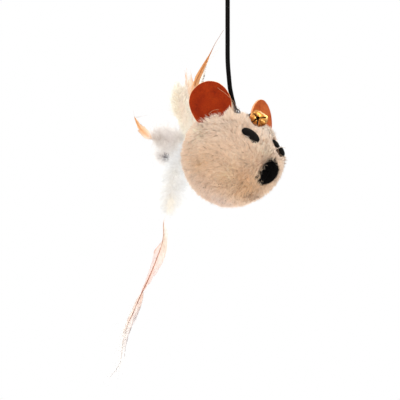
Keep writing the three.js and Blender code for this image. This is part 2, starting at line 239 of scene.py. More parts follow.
# ---------------------------------------------------------------- materials
class Nodes:
    """A short way to write a node material."""

    def __init__(self, name):
        self.material = bpy.data.materials.new(name)
        self.material.use_nodes = True
        self.tree = self.material.node_tree
        self.tree.nodes.clear()
        self.out = self.add("ShaderNodeOutputMaterial")
        self.coord = self.add("ShaderNodeTexCoord")

    def add(self, kind, **inputs):
        n = self.tree.nodes.new(kind)
        for key, value in inputs.items():
            if hasattr(n, key) and key not in n.inputs:
                setattr(n, key, value)
        for key, value in inputs.items():
            key = key.replace("_", " ") if key.replace("_", " ") in n.inputs else key
            if key in n.inputs:
                self.set(n.inputs[key], value)
        return n

    def set(self, socket, value):
        if isinstance(value, bpy.types.NodeSocket):
            self.tree.links.new(value, socket)
        elif isinstance(value, (tuple, list)) and len(value) == 3 and socket.type == "RGBA":
            socket.default_value = (*value, 1.0)
        else:
            socket.default_value = value

    def noise(self, scale, detail=4.0, roughness=0.55, distortion=0.0, vector=None):
        n = self.add("ShaderNodeTexNoise")
        self.tree.links.new(vector or self.coord.outputs["Object"], n.inputs["Vector"])
        n.inputs["Scale"].default_value = scale
        n.inputs["Detail"].default_value = detail
        n.inputs["Roughness"].default_value = roughness
        n.inputs["Distortion"].default_value = distortion
        return n.outputs["Fac"]

    def ramp(self, fac, *stops):
        n = self.add("ShaderNodeValToRGB")
        self.tree.links.new(fac, n.inputs["Fac"])
        e = n.color_ramp.elements
        while len(e) < len(stops):
            e.new(0.5)
        for item, (place, colour) in zip(e, stops):
            item.position = place
            item.color = (*colour, 1.0) if len(colour) == 3 else colour
        return n.outputs["Color"]

    def mix(self, fac, a, b, how="MIX"):
        n = self.add("ShaderNodeMix", data_type="RGBA", blend_type=how)
        self.set(n.inputs[0], fac)
        self.set(n.inputs[6], a)
        self.set(n.inputs[7], b)
        return n.outputs[2]

    def math(self, how, a, b=None):
        n = self.add("ShaderNodeMath", operation=how)
        self.set(n.inputs[0], a)
        if b is not None:
            self.set(n.inputs[1], b)
        return n.outputs[0]

    def bump(self, height, strength, distance, normal=None):
        n = self.add("ShaderNodeBump")
        self.tree.links.new(height, n.inputs["Height"])
        n.inputs["Strength"].default_value = strength
        n.inputs["Distance"].default_value = distance
        if normal is not None:
            self.tree.links.new(normal, n.inputs["Normal"])
        return n.outputs["Normal"]

    def principled(self, **inputs):
        n = self.add("ShaderNodeBsdfPrincipled")
        for key, value in inputs.items():
            self.set(n.inputs[key.replace("_", " ")], value)
        self.tree.links.new(n.outputs[0], self.out.inputs["Surface"])
        return n


def grey(f, lo, hi, n):
    return n.ramp(f, (lo[0], (lo[1],) * 3), (hi[0], (hi[1],) * 3))


def make_elastic():
    n = Nodes("black_elastic")
    f = n.noise(900.0, 3.0)
    fine = n.noise(5200.0, 2.0)
    colour = n.ramp(f, (0.3, (0.0008, 0.0006, 0.0005)), (0.7, (0.0022, 0.0018, 0.0015)))
    rough = grey(fine, (0.3, 0.38), (0.7, 0.55), n)
    n.principled(Base_Color=colour, Roughness=rough, Normal=n.bump(fine, 0.35, 0.00006), Specular_IOR_Level=0.06)
    return n.material


def make_thread(name, dark, light, sheen=0.3):
    n = Nodes(name)
    f = n.noise(2600.0, 3.0)
    n.principled(Base_Color=n.ramp(f, (0.3, dark), (0.7, light)), Roughness=0.62, Normal=n.bump(f, 0.6, 0.00008), Sheen_Weight=sheen, Sheen_Roughness=0.4)
    return n.material


def make_nylon():
    n = Nodes("clear_thread")
    f = n.noise(1200.0, 2.0)
    n.principled(Base_Color=n.ramp(f, (0.3, (0.56, 0.45, 0.38)), (0.7, (0.74, 0.64, 0.56))), Roughness=0.3, Specular_IOR_Level=0.6, Normal=n.bump(f, 0.15, 0.00003))
    return n.material


def make_pile(name, tint_dark, tint_light, sheen=0.35, rough=0.85, spec=0.2):
    """Strands: the colour of each vertex, warmed or cooled over the surface."""
    n = Nodes(name)
    tone = n.add("ShaderNodeVertexColor", layer_name="tone")
    broad = n.noise(55.0, 3.0)
    fine = n.noise(1400.0, 2.0)
    tint = n.ramp(broad, (0.35, tint_dark), (0.65, tint_light))
    colour = n.mix(1.0, tone.outputs["Color"], tint, "MULTIPLY")
    speck = n.ramp(fine, (0.3, (0.9, 0.9, 0.9)), (0.7, (1.0, 1.0, 1.0)))
    colour = n.mix(1.0, colour, speck, "MULTIPLY")
    n.principled(Base_Color=colour, Roughness=rough, Sheen_Weight=sheen, Sheen_Roughness=0.5, Specular_IOR_Level=spec)
    return n.material


def make_backing():
    n = Nodes("plush_backing")
    f = n.noise(420.0, 4.0)
    fine = n.noise(2400.0, 3.0)
    colour = n.ramp(f, (0.3, (0.70, 0.48, 0.33)), (0.7, (0.82, 0.60, 0.44)))
    n.principled(Base_Color=colour, Roughness=0.95, Normal=n.bump(fine, 0.8, 0.0003), Sheen_Weight=0.3, Sheen_Roughness=0.6, Specular_IOR_Level=0.15)
    return n.material


def make_suede(name, dark, mid, light):
    n = Nodes(name)
    broad = n.noise(160.0, 4.0)
    grain = n.noise(1500.0, 4.0, 0.7)
    pores = n.add("ShaderNodeTexVoronoi")
    n.tree.links.new(n.coord.outputs["Object"], pores.inputs["Vector"])
    pores.inputs["Scale"].default_value = 900.0
    colour = n.ramp(broad, (0.3, dark), (0.5, mid), (0.72, light))
    nap = n.ramp(grain, (0.32, (0.72, 0.72, 0.72)), (0.62, (1.0, 1.0, 1.0)))
    colour = n.mix(1.0, colour, nap, "MULTIPLY")
    specks = n.noise(780.0, 1.0, 0.4)
    colour = n.mix(1.0, colour, n.ramp(specks, (0.25, (0.72, 0.66, 0.64)), (0.33, (1.0, 1.0, 1.0))), "MULTIPLY")
    height = n.math("ADD", grain, n.math("MULTIPLY", pores.outputs["Distance"], 0.35))
    n.principled(Base_Color=colour, Roughness=0.78, Normal=n.bump(height, 0.5, 0.00012), Sheen_Weight=0.08, Sheen_Roughness=0.45, Sheen_Tint=(1.0, 0.45, 0.2), Specular_IOR_Level=0.08)
    return n.material


def make_cut_edge():
    n = Nodes("ear_cut_edge")
    f = n.noise(1800.0, 4.0)
    colour = n.ramp(f, (0.3, (0.62, 0.22, 0.07)), (0.7, (0.88, 0.46, 0.22)))
    n.principled(Base_Color=colour, Roughness=0.9, Normal=n.bump(f, 0.7, 0.0001), Sheen_Weight=0.25, Sheen_Roughness=0.5)
    return n.material


def make_felt():
    n = Nodes("black_felt")
    f = n.noise(1500.0, 4.0, 0.7)
    colour = n.ramp(f, (0.3, (0.0015, 0.0012, 0.001)), (0.7, (0.006, 0.005, 0.0045)))
    n.principled(Base_Color=colour, Roughness=0.95, Normal=n.bump(f, 0.9, 0.00025), Sheen_Weight=0.035, Sheen_Roughness=0.6, Specular_IOR_Level=0.04)
    return n.material


def make_brass():
    n = Nodes("bell_brass")
    broad = n.noise(260.0, 3.0)
    fine = n.noise(2600.0, 4.0, 0.65)
    colour = n.ramp(broad, (0.25, (0.56, 0.20, 0.035)), (0.5, (0.84, 0.38, 0.09)), (0.78, (0.97, 0.58, 0.19)))
    rough = grey(fine, (0.3, 0.16), (0.75, 0.36), n)
    n.principled(Base_Color=colour, Metallic=1.0, Roughness=rough, Normal=n.bump(fine, 0.12, 0.00006))
    return n.material


# near black brass for the inner faces of the bell: painted shade in its hollow
def make_painted_shade_brass():
    n = Nodes("brass_inside_painted_shade")
    f = n.noise(500.0, 3.0)
    n.principled(Base_Color=n.ramp(f, (0.3, (0.02, 0.010, 0.003)), (0.7, (0.07, 0.035, 0.010))), Metallic=0.6, Roughness=n.math("ADD", n.math("MULTIPLY", f, 0.2), 0.6), Normal=n.bump(f, 0.4, 0.00008))
    return n.material


def make_steel():
    n = Nodes("pellet_steel")
    f = n.noise(1500.0, 4.0)
    n.principled(Base_Color=n.ramp(f, (0.3, (0.3, 0.3, 0.29)), (0.7, (0.55, 0.54, 0.52))), Metallic=1.0, Roughness=grey(f, (0.3, 0.25), (0.7, 0.5), n), Normal=n.bump(f, 0.3, 0.00005))
    return n.material


def make_stuffing():
    n = Nodes("stuffing_fibre")
    f = n.noise(900.0, 5.0, 0.7, 1.5)
    n.principled(Base_Color=n.ramp(f, (0.3, (0.7, 0.69, 0.65)), (0.7, (0.92, 0.91, 0.88))), Roughness=1.0, Normal=n.bump(f, 1.0, 0.0006), Sheen_Weight=0.4, Sheen_Roughness=0.6)
    return n.material


def make_feather(name, rough=0.6, sheen=0.35, through=0.4, painted_glow=0.05):
    n = Nodes(name)
    tone = n.add("ShaderNodeVertexColor", layer_name="tone")
    streak = n.noise(700.0, 3.0)
    colour = n.mix(1.0, tone.outputs["Color"], n.ramp(streak, (0.3, (0.86, 0.85, 0.84)), (0.7, (1.0, 1.0, 1.0))), "MULTIPLY")
    p = n.principled(Base_Color=colour, Roughness=rough, Sheen_Weight=sheen, Sheen_Roughness=0.4, Specular_IOR_Level=0.3)
    see = n.add("ShaderNodeBsdfTranslucent")
    n.tree.links.new(colour, see.inputs["Color"])
    mixed = n.add("ShaderNodeMixShader")
    mixed.inputs[0].default_value = through
    # painted light: the barbs glow in their own colour
    n.tree.links.new(colour, p.inputs["Emission Color"])
    p.inputs["Emission Strength"].default_value = painted_glow
    n.tree.links.new(p.outputs[0], mixed.inputs[1])
    n.tree.links.new(see.outputs[0], mixed.inputs[2])
    n.tree.links.new(mixed.outputs[0], n.out.inputs["Surface"])
    return n.material


def make_ear_thread():
    n = Nodes("ear_thread_clear")
    f = n.noise(1200.0, 2.0)
    n.principled(Base_Color=n.ramp(f, (0.3, (0.42, 0.17, 0.075)), (0.7, (0.52, 0.26, 0.14))), Roughness=0.35, Specular_IOR_Level=0.4, Normal=n.bump(f, 0.15, 0.00003))
    return n.material


ELASTIC = make_elastic()
EAR_NYLON = make_ear_thread()
DARK_THREAD = make_thread("dark_thread", (0.022, 0.014, 0.014), (0.085, 0.058, 0.055))
TAN_THREAD = make_thread("tan_thread", (0.42, 0.28, 0.17), (0.66, 0.5, 0.34))
NYLON = make_nylon()
PILE = make_pile("beige_pile", (0.96, 0.92, 0.88), (1.0, 1.0, 1.0))
BLACK_PILE = make_pile("black_pile", (0.8, 0.8, 0.8), (1.0, 1.0, 1.0), sheen=0.02, rough=0.95, spec=0.04)
BACKING = make_backing()
# the near ear's suede, and a lighter copy for the far ear: painted light where the far ear faces the light
SUEDE = make_suede("ear_suede", (0.185, 0.012, 0.0008), (0.245, 0.019, 0.0012), (0.30, 0.029, 0.002))
SUEDE_PAINTED_LIGHT = make_suede("ear_suede_painted_light", (0.345, 0.056, 0.0085), (0.455, 0.087, 0.0145), (0.53, 0.118, 0.023))
CUT_EDGE = make_cut_edge()
FELT = make_felt()
BRASS = make_brass()
BRASS_PAINTED_SHADE = make_painted_shade_brass()
STEEL = make_steel()
STUFFING = make_stuffing()
# both glow a little as painted light
FEATHER = make_feather("feather_barbs", painted_glow=0.115)
DOWN = make_feather("feather_down", 0.8, 0.25, 0.42, 0.17)

# ---------------------------------------------------------------- the cord, its loop and its knot
CORD_R = 1.2 * MM


def braid(s, a):
    """Sixteen strands plaited round the core: two sets of helices, over and under."""
    pitch = 7.0 * MM
    u = a * 8 + s / pitch * 2 * math.pi * 1.0 * 8
    v = a * 8 - s / pitch * 2 * math.pi * 1.0 * 8
    over = 0.5 + 0.5 * np.sin((u + v) / 2) * np.sin((u - v) / 2)
    return 0.035 * (over * np.abs(np.cos(u / 2)) + (1 - over) * np.abs(np.cos(v / 2))) - 0.02


CORD_ROUTE = np.array([
    [4.45, 0, -86.1], [3.38, 0.1, -83.0], [2.62, 0.09, -80.5], [1.84, 0.07, -77.8], [1.34, 0.04, -74.8], [0.88, 0, -71.5], [0.42, 0, -67.8],
    [0.10, 0, -63.7], [0.01, 0, -60.2], [0, 0, -57.0], [0, 0, -51.0], [0, 0, -45.0], [0, 0, -40.0], [0, 0, -35.0], [0, 0, -31.0], [0, 0, -27.2]]) * MM
cord_path = catmull(CORD_ROUTE, 240)
cord = tube("elastic_cord", cord_path, CORD_R, sides=28, shape=braid)
finish_piece(cord, None, ELASTIC, ("elastic_cord_upper", "elastic_cord_lower"))
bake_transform(cord)

loop_route = [(-1.35, 0, -23.2), (-1.7, 0, -21.6), (-2.75, 0, -19.4), (-4.9, 0, -14.2), (-6.5, 0, -8.2), (-5.4, 0, -2.4), (-2.73, 0, 0.35), (0, 0, 1.1),
              (2.73, 0, 0.35), (5.4, 0, -2.4), (6.5, 0, -8.2), (4.9, 0, -14.2), (2.75, 0, -19.4), (1.7, 0, -21.6), (1.35, 0, -23.2)]
hanging_loop = tube("cord_loop", catmull(np.array(loop_route) * MM, 220), CORD_R, sides=24, shape=braid)
finish_piece(hanging_loop, "hook_end", ELASTIC, ("hanging_loop",))

# the knot: a snug overhand knot of the doubled cord
knot_at = np.array([0, 0, -25.2]) * MM
turns = []
for k, shift in enumerate((-0.55, 0.55)):
    t = np.linspace(0, 2 * math.pi, 150, endpoint=False)
    r = 1.62 + 0.42 * np.cos(3 * t)
    x = r * np.cos(2 * t)
    y = 0.8 * r * np.sin(2 * t)
    z = 1.02 * np.sin(3 * t) + shift
    p = np.stack([x, z * 0.95, y * 1.05], 1) * MM + knot_at
    turns.append(tube(f"knot_turn_{k}", p, CORD_R * 0.86, sides=18, closed=True, shape=braid))
core = tube("knot_core", np.array([[0, 0, -2.3], [0, 0, 2.2]]) * MM + knot_at, CORD_R * 1.0, sides=18)
knot = joined("cord_knot", turns + [core])
finish_piece(knot, "knot", ELASTIC, ("loop_knot",))

tail_route = np.array([(0.2, 1.6, -26.2), (0.3, 2.75, -27.1), (0.45, 4.0, -28.6), (0.55, 4.8, -29.9)]) * MM
tail_end = tube("cord_spare_end", catmull(tail_route, 60), CORD_R, sides=24, shape=braid, round_ends=False)
frays = []
rng = np.random.default_rng(3)
end_dir = unit(tail_route[-1] - tail_route[-2])
for i in range(46):
    off = rng.normal(size=3)
    off = unit(off - end_dir * (off @ end_dir)) * CORD_R * 0.9 * math.sqrt(rng.random())
    a = tail_route[-1] - end_dir * 0.2 * MM + off
    b = a + end_dir * rng.uniform(0.3, 0.7) * MM + off * 0.25
    frays.append(tube(f"fray_{i}", np.array([a, (a + b) / 2, b]), np.array([0.06, 0.05, 0.02]) * MM, sides=5))
tail_end = joined("cord_spare_end", [tail_end] + frays)
finish_piece(tail_end, "knot", ELASTIC, ("cord_tail_end",))

# the cord's foot: dark thread whipped round it, a loose loop of thread, and the little eye stitched to the crown
whip_path = catmull(np.array([[4.3, 0.02, -85.7], [4.62, -0.03, -86.5], [5.0, -0.1, -87.4], [5.35, -0.18, -88.15]]) * MM, 40)


def lay_of_thread(s, a):
    return 0.16 * np.abs(np.sin(s / (0.42 * MM) * math.pi + a / 2)) - 0.08


whipping = tube("cord_whipping", whip_path, np.linspace(1.12, 0.62, 40) * MM, sides=20, shape=lay_of_thread)


def photo_row(px, py, depth):
    """A point of the photograph, with its depth in pixels towards the camera from the plumb line, to row metres."""
    lateral = (px - 227.6) * 0.52
    return (CAM_RIGHT * lateral + CAM_BACK * depth * 0.52 + np.array([0, 0, -32 - 0.52 * py])) * MM


bight = [photo_row(*p) for p in [(234.3, 104.6, -6.0), (234.2, 107.0, -5.2), (234.5, 110.3, -5.6), (235.4, 113.0, -6.4), (236.8, 113.6, -6.8), (237.4, 111.6, -6.9), (236.6, 108.4, -6.8), (235.4, 105.6, -6.6)]]
bight = tube("foot_bight", bight, 0.33 * MM, sides=8, steps=60, shape=lambda s, a: 0.1 * np.sin(s / (0.5 * MM) * 2 * math.pi + a))
whipping = joined("cord_whipping", [whipping, bight])
finish_piece(whipping, "cord_foot", DARK_THREAD, ("foot_whipping",))

FOOT = np.array([7.5, -1.3, -91.1]) * MM
FOOT_DOWN = unit([0.567, -0.303, -0.765])
facing = unit(CAM_BACK - FOOT_DOWN * (CAM_BACK @ FOOT_DOWN))
across = np.cross(facing, FOOT_DOWN)
t = np.linspace(0, 2 * math.pi, 60, endpoint=False)
eye_at = FOOT - FOOT_DOWN * 1.5 * MM
ring = eye_at + np.outer(np.cos(t), across) * 0.9 * MM - np.outer(np.sin(t), FOOT_DOWN) * 1.5 * MM
foot_eye = tube("foot_thread_eye", ring, 0.32 * MM, sides=10, closed=True, shape=lambda s, a: 0.1 * np.sin(s / (0.5 * MM) * 2 * math.pi + a))
finish_piece(foot_eye, "foot_tie", DARK_THREAD, ("foot_eye",))
ring = FOOT + np.outer(np.cos(t), facing) * 1.0 * MM - np.outer(np.sin(t), FOOT_DOWN) * 1.0 * MM
foot_stitch = tube("foot_stitch_thread", ring, 0.24 * MM, sides=10, closed=True)
finish_piece(foot_stitch, "foot_tie", DARK_THREAD, ("foot_stitch",))


# ---------------------------------------------------------------- plush head
def swell(d):
    forward = np.maximum(0, -d[:, 1])
    gate = np.minimum(1, forward * 2.2)
    return 3.2 * gate * gate * np.exp(-((d[:, 0] / 0.85) ** 2 + ((d[:, 2] - 0.22) / 0.45) ** 2))


def lobe(d, centre, width):
    """1 in one direction, falling off with the angle (radians)."""
    c = np.clip(d @ unit(centre), -1, 1)
    return np.exp(-(np.arccos(c) / width) ** 2)


def wander(d, seed, lowest, highest, count=10):
    """A smooth wandering value of about -1 to 1 over the ball."""
    g = np.random.default_rng(seed)
    k = unit(g.normal(size=(count, 3))) * g.uniform(lowest, highest, (count, 1))
    ph = g.uniform(0, 2 * math.pi, count)
    return np.sin(d @ k.T + ph).sum(1) / math.sqrt(count / 2) * 0.7


EYE_AT = {"right": np.array([-12.05, -17.71, 13.77]), "left": np.array([10.91, -17.57, 13.78])}
EYE_ALONG = {"right": unit([0.695, -0.672, -0.258]), "left": unit([0.76, -0.497, -0.467])}
NOSE_DIR = unit([0.042, -1.0, -0.028])
FOOT_DIR = unit([-0.69, 6.17, 22.72])
BELL_AT = np.array([-1.7, -8.65, 23.92])


def skin_radius(d):
    """Radius of the fabric under the pile, mm, in each head-frame direction."""
    r = 22.5 + swell(d) * 0.95 + 0.28 * wander(d, 11, 2.5, 5.0) + 0.12 * wander(d, 12, 8.0, 14.0)
    # cheeks, brow, and the hollow between nose and brow
    r += 0.8 * lobe(d, [-0.62, -0.7, -0.2], 0.42) + 0.8 * lobe(d, [0.62, -0.7, -0.2], 0.42)
    r += 0.5 * lobe(d, [0.0, -0.8, 0.62], 0.3)
    # the bell, the cord's foot and the plug draw the fabric in
    r -= 1.5 * lobe(d, BELL_AT, 0.22) + 2.2 * lobe(d, FOOT_DIR, 0.24) + 1.5 * lobe(d, [0, 1, 0], 0.17)
    # plump at the near ear's foot and round the nose
    r += 1.1 * lobe(d, [-0.90, 0.22, 0.36], 0.3) + 0.5 * lobe(d, [-0.74, 0.08, 0.66], 0.3) + 1.0 * lobe(d, [-0.50, 0.02, 0.86], 0.17) + 1.9 * lobe(d, NOSE_DIR, 0.45)
    r += 1.0 * lobe(d, -0.80 * VIEW_RIGHT + 0.55 * WORLD_UP + 0.1 * VIEW, 0.22)
    r += 1.3 * lobe(d, -0.85 * VIEW_RIGHT - 0.5 * WORLD_UP, 0.85) + 0.8 * lobe(d, -VIEW_RIGHT + 0.15 * WORLD_UP, 0.4) + 0.5 * lobe(d, -WORLD_UP, 0.6)
    # the eyes' stitches pull small hollows
    r -= 0.55 * lobe(d, EYE_AT["right"], 0.17) + 1.5 * lobe(d, EYE_AT["left"], 0.22)
    # the middle seam is a faint valley
    r -= 0.35 * np.exp(-(d[:, 0] / 0.03) ** 2) * (0.4 + 0.6 * (d[:, 2] < 0.9))
    return r


def skin_point(d):
    return d * skin_radius(d)[:, None]


def skin_normal(d):
    a = unit(np.cross(d, np.where(np.abs(d[:, 2:3]) < 0.9, [[0, 0, 1.0]], [[1.0, 0, 0]])))
    b = np.cross(d, a)
    e = 0.02
    pa = skin_point(unit(d + a * e)) - skin_point(unit(d - a * e))
    pb = skin_point(unit(d + b * e)) - skin_point(unit(d - b * e))
    n = unit(np.cross(pa, pb))
    return n * np.sign((n * d).sum(1, keepdims=True))


# a quad ball: six faces of a cube pushed out
def quad_ball(n):
    bm = bmesh.new()
    bmesh.ops.create_cube(bm, size=2.0)
    bmesh.ops.subdivide_edges(bm, edges=bm.edges[:], cuts=n, use_grid_fill=True)
    bm.verts.ensure_lookup_table()
    co = np.array([v.co[:] for v in bm.verts])
    co = unit(co + 0.0)
    faces = np.array([[v.index for v in f.verts] for f in bm.faces])
    bm.free()
    return co, faces


ball, ball_faces = quad_ball(70)
skin = mesh_object("plush_head", H(skin_point(ball)), [ball_faces])
finish_piece(skin, "mouse", BACKING, ("plush_right_half", "plush_left_half"))


def spread(n, rng, jitter=0.6):
    """n directions spread evenly over the ball, with some jitter."""
    i = np.arange(n) + 0.5
    ph = np.arccos(1 - 2 * i / n)
    th = math.pi * (1 + 5 ** 0.5) * i
    d = np.stack([np.cos(th) * np.sin(ph), np.sin(th) * np.sin(ph), np.cos(ph)], 1)
    return unit(d + rng.normal(size=d.shape) * jitter * math.sqrt(4 * math.pi / n) * 0.5)


def strand_mesh(name, lines, widths, sides, normals, tones, body, material):
    """lines (n, k, 3) mm in the head frame, widths (n, k) mm, sides (n, 3) each strand's width direction, normals (n, 3), tones (n, k, 3)."""
    n, k = lines.shape[:2]
    tang = np.gradient(lines, axis=1)
    tang = unit(tang)
    w = unit(sides[:, None] - tang * (sides[:, None] * tang).sum(-1, keepdims=True))
    left = lines[:, :-1] - w[:, :-1] * widths[:, :-1, None] / 2
    right = lines[:, :-1] + w[:, :-1] * widths[:, :-1, None] / 2
    tip = lines[:, -1:]
    verts = np.concatenate([np.stack([left, right], 2).reshape(n, -1, 3), tip], 1)
    per = 2 * (k - 1) + 1
    base = (np.arange(n) * per)[:, None]
    quads = []
    for s in range(k - 2):
        quads.append(base + np.array([[2 * s, 2 * s + 1, 2 * s + 3, 2 * s + 2]]))
    quads = np.concatenate(quads) if quads else np.zeros((0, 4), int)
    tris = base + np.array([[2 * (k - 2), 2 * (k - 2) + 1, 2 * (k - 1)]])
    # each strand's own normal looks outwards
    face = np.cross(w[:, 0], tang[:, 0])
    flip = (face * normals).sum(1) < 0
    order = np.where(flip)[0]
    if len(order):
        v = verts.reshape(n, per, 3)
        for s in range(k - 1):
            a, b = v[order, 2 * s].copy(), v[order, 2 * s + 1].copy()
            v[order, 2 * s], v[order, 2 * s + 1] = b, a
        verts = v.reshape(-1, 3)
    tone = np.concatenate([np.repeat(tones[:, :-1], 2, axis=1), tones[:, -1:]], 1).reshape(-1, 3)
    nn = normals[:, None] - tang * (normals[:, None] * tang).sum(-1, keepdims=True)
    nn = unit(0.55 * normals[:, None] + 0.45 * unit(nn))
    nn = np.concatenate([np.repeat(nn[:, :-1], 2, axis=1), nn[:, -1:]], 1).reshape(-1, 3)
    o = mesh_object(name, H(verts.reshape(-1, 3)), [quads, tris], normals=HD(nn), tone=tone)
    return finish_piece(o, body, material)


def comb(d, normal):
    """The way the pile lies: back from the nose, wandering in patches, and swept up the brow to the crown."""
    base = np.tile([[0.0, 1.0, 0.0]], (len(d), 1))
    up = np.array([-0.25, 0.2, 0.95])
    brow = lobe(d, [-0.25, -0.62, 0.75], 0.5)[:, None]
    base = base * (1 - 0.75 * brow) + up * 0.75 * brow
    sag = np.clip(0.35 - 0.6 * d[:, 2:3], 0, 0.6)
    base = base - WORLD_UP * sag * 0.8
    flow = unit(base - normal * (base * normal).sum(1, keepdims=True))
    side = np.cross(normal, flow)
    a = 0.75 * wander(d, 21, 3.5, 7.0) + 0.45 * wander(d, 22, 9.0, 16.0)
    return flow * np.cos(a)[:, None] + side * np.sin(a)[:, None]


def capsule_distance(p, at, along, half):
    s = np.clip((p - at) @ along, -half, half)
    return np.linalg.norm(p - at - s[:, None] * along, axis=1)


def screen(p):
    """Where head-frame points (mm) lie across the view: right, up and towards the camera, from the head's middle."""
    return p @ VIEW_RIGHT, p @ WORLD_UP, p @ VIEW


def seen_at(x, y):
    """The direction that is seen x to the right of and y above the head's middle, in radii."""
    return x * VIEW_RIGHT + y * WORLD_UP + math.sqrt(max(0.0, 1 - x * x - y * y)) * VIEW


def patches(dirs):
    """Broad painted light and shade over the pile, as factors of red, green and blue: painted light lifts the mid
    cheek, the pile below the near ear, between the eyes and between the bell and the far eye; painted shade darkens and
    tans the left side, the lower cheeks, underneath and between the bell and the near eye.
    """
    f = np.ones((len(dirs), 3))
    for x, y, width, change in [
            (0.0, -0.42, 0.36, (0.13, 0.17, 0.20)), (0.61, 0.10, 0.26, (0.12, 0.18, 0.24)), (-0.68, -0.15, 0.30, (-0.06, -0.15, -0.26)), (-0.20, -0.90, 0.34, (-0.21, -0.20, -0.15)),
            (-0.65, -0.56, 0.30, (-0.12, -0.15, -0.14)), (0.73, 0.60, 0.25, (0.10, 0.18, 0.25)), (0.24, -0.36, 0.20, (-0.09, -0.18, -0.27)), (-0.40, -0.02, 0.34, (-0.08, -0.13, -0.18)),
            (0.36, -0.68, 0.26, (-0.06, -0.15, -0.27)), (0.37, 0.60, 0.15, (-0.06, -0.10, -0.12)), (-0.61, 0.50, 0.22, (0.14, 0.15, 0.17)), (-0.90, 0.15, 0.25, (0.03, 0.0, -0.04))]:
        f = f + lobe(dirs, seen_at(x, y), width)[:, None] * np.array(change)
    return f


def make_fur():
    rng = np.random.default_rng(5)
    N, CLUMPS = ((112000, 7200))
    d = spread(N, rng, 1.0)
    c = spread(CLUMPS, rng, 1.0)
    tree = KDTree(CLUMPS)
    for i, p in enumerate(c):
        tree.insert(p, i)
    tree.balance()
    own = np.array([tree.find(p)[1] for p in d])
    # clump facts
    cn = skin_normal(c)
    cf = comb(c, cn)
    cs = np.cross(cn, cf)
    ca = rng.normal(0, 0.30, CLUMPS)
    cf = cf * np.cos(ca)[:, None] + cs * np.sin(ca)[:, None]
    c_len = rng.normal(1, 0.10, CLUMPS).clip(0.7, 1.35)
    c_lift = rng.normal(0, 0.13, CLUMPS)
    c_tone = rng.normal(0, 1, CLUMPS)
    cp = skin_point(c)

    def length(dirs):
        l = np.full(len(dirs), 3.2)
        l *= 1 + 1.25 * lobe(dirs, [-0.50, 0.05, 0.86], 0.14) + 0.55 * lobe(dirs, VIEW_RIGHT - 0.02 * WORLD_UP + 0.1 * VIEW, 0.15) + 0.45 * lobe(dirs, [-0.74, 0.08, 0.66], 0.24) + 0.45 * lobe(dirs, [-0.90, 0.22, 0.36], 0.22)
        l *= 1 + 0.25 * lobe(dirs, [0.45, -0.55, 0.70], 0.3)
        for s in ("right", "left"):
            l *= 1 - 0.5 * lobe(dirs, EYE_AT[s], 0.20)
        l *= 1 - 0.30 * lobe(dirs, NOSE_DIR, 0.30)
        l *= 1 - 0.45 * lobe(dirs, BELL_AT, 0.22)
        l *= 1 - 0.45 * lobe(dirs, FOOT_DIR, 0.2)
        l *= 1 - 0.25 * lobe(dirs, [0, 1, 0], 0.3)
        return l

    steps = np.array([0.0, 0.4, 0.75, 1.0])

    def lines_of(root, normal, flow, long, lift):
        out = [root]
        at = root.copy()
        for a, b in zip(steps[:-1], steps[1:]):
            m = (a + b) / 2
            theta = np.clip(0.42 + 0.62 * m + lift, 0.12, 1.35)[:, None]   # lean away from the normal
            at = at + (np.cos(theta) * normal + np.sin(theta) * flow) * (long * (b - a))[:, None]
            out.append(at)
        return np.stack(out, 1)

    def stand(dirs):
        return 0.15 * lobe(dirs, seen_at(-0.05, -0.30), 0.50) - 0.5 * lobe(dirs, [-0.50, 0.05, 0.86], 0.17) - 0.35 * lobe(dirs, VIEW_RIGHT, 0.18) - 0.25 * lobe(dirs, [-0.88, 0.2, 0.42], 0.3)

    clump_lines = lines_of(cp, cn, cf, length(c) * c_len, c_lift + stand(c))
    n = skin_normal(d)
    root = skin_point(d) - n * 0.25
    flow = comb(d, n)
    flow = unit(0.6 * flow + 0.4 * cf[own] + rng.normal(size=d.shape) * 0.26)
    flow = unit(flow - n * (flow * n).sum(1, keepdims=True))
    long = length(d) * c_len[own] * rng.normal(1, 0.14, N).clip(0.55, 1.4)
    lift = c_lift[own] + rng.normal(0, 0.16, N) + stand(d)
    lines = lines_of(root, n, flow, long, lift)
    pull = np.array([0.0, 0.14, 0.30, 0.46]) * rng.uniform(0.3, 1.15, (N, 1))
    lines = lines + (clump_lines[own] - lines) * pull[..., None]
    # strands stay off the eyes, the nose patch, the bell and the cord's foot: those that would cross are short, and what still crosses goes
    edge = rng.normal(0, 0.45, (3, N))
    stray = rng.random(N)
    bell_depth = BELL_AT @ VIEW
    foot_depth = np.array([-0.2, 5.8, 22.5]) @ VIEW
    bx, by, _ = screen(BELL_AT)
    ex, ey, ez = screen(EYE_AT["left"])
    ax, ay, _ = screen(EYE_ALONG["left"])

    def crosses(lines, edge, stray, sight=True):
        """Strands that would cross an eye, the nose, the bell or the cord's foot; with sight, also those that would hide the left eye's edge."""
        hit = np.zeros(len(lines), bool)
        for s in ("right", "left"):
            for j in (2, 3):
                hit |= (capsule_distance(lines[:, j], EYE_AT[s], EYE_ALONG[s], 2.85) < 2.1) & (stray > 0.05)
        tipnose = unit(lines[:, -1])
        hit |= np.arccos(np.clip(tipnose @ NOSE_DIR, -1, 1)) < 0.18 + 0.02 * edge[0]
        for j in (1, 2, 3):
            p = lines[:, j]
            hit |= np.linalg.norm(p - BELL_AT, axis=1) < 4.9
            x, y, z = screen(p)
            hit |= (np.hypot(x - bx, y - by - 0.2) < 4.5) & (z > bell_depth - 1) & (stray > 0.03)
            hit |= (x > 0.5 + edge[0]) & (x < 5.2 + edge[1]) & (y > 22.9 + edge[2]) & (z > foot_depth - 2.0)
            if sight:
                k = np.clip(((x - ex) * ax + (y - ey) * ay) / (ax * ax + ay * ay), -3.4, 3.4)
                hit |= (np.hypot(x - ex - k * ax, y - ey - k * ay) < 2.1 + edge[1] * 0.4) & (z > ez - 3)
            hit |= np.linalg.norm(p - np.array([-0.9, 6.2, 23.4]), axis=1) < 1.6
        return hit

    hit = crosses(lines, edge, stray)
    lines[hit] = lines[hit, :1] + (lines[hit] - lines[hit, :1]) * 0.5
    hit = crosses(lines, edge, stray)
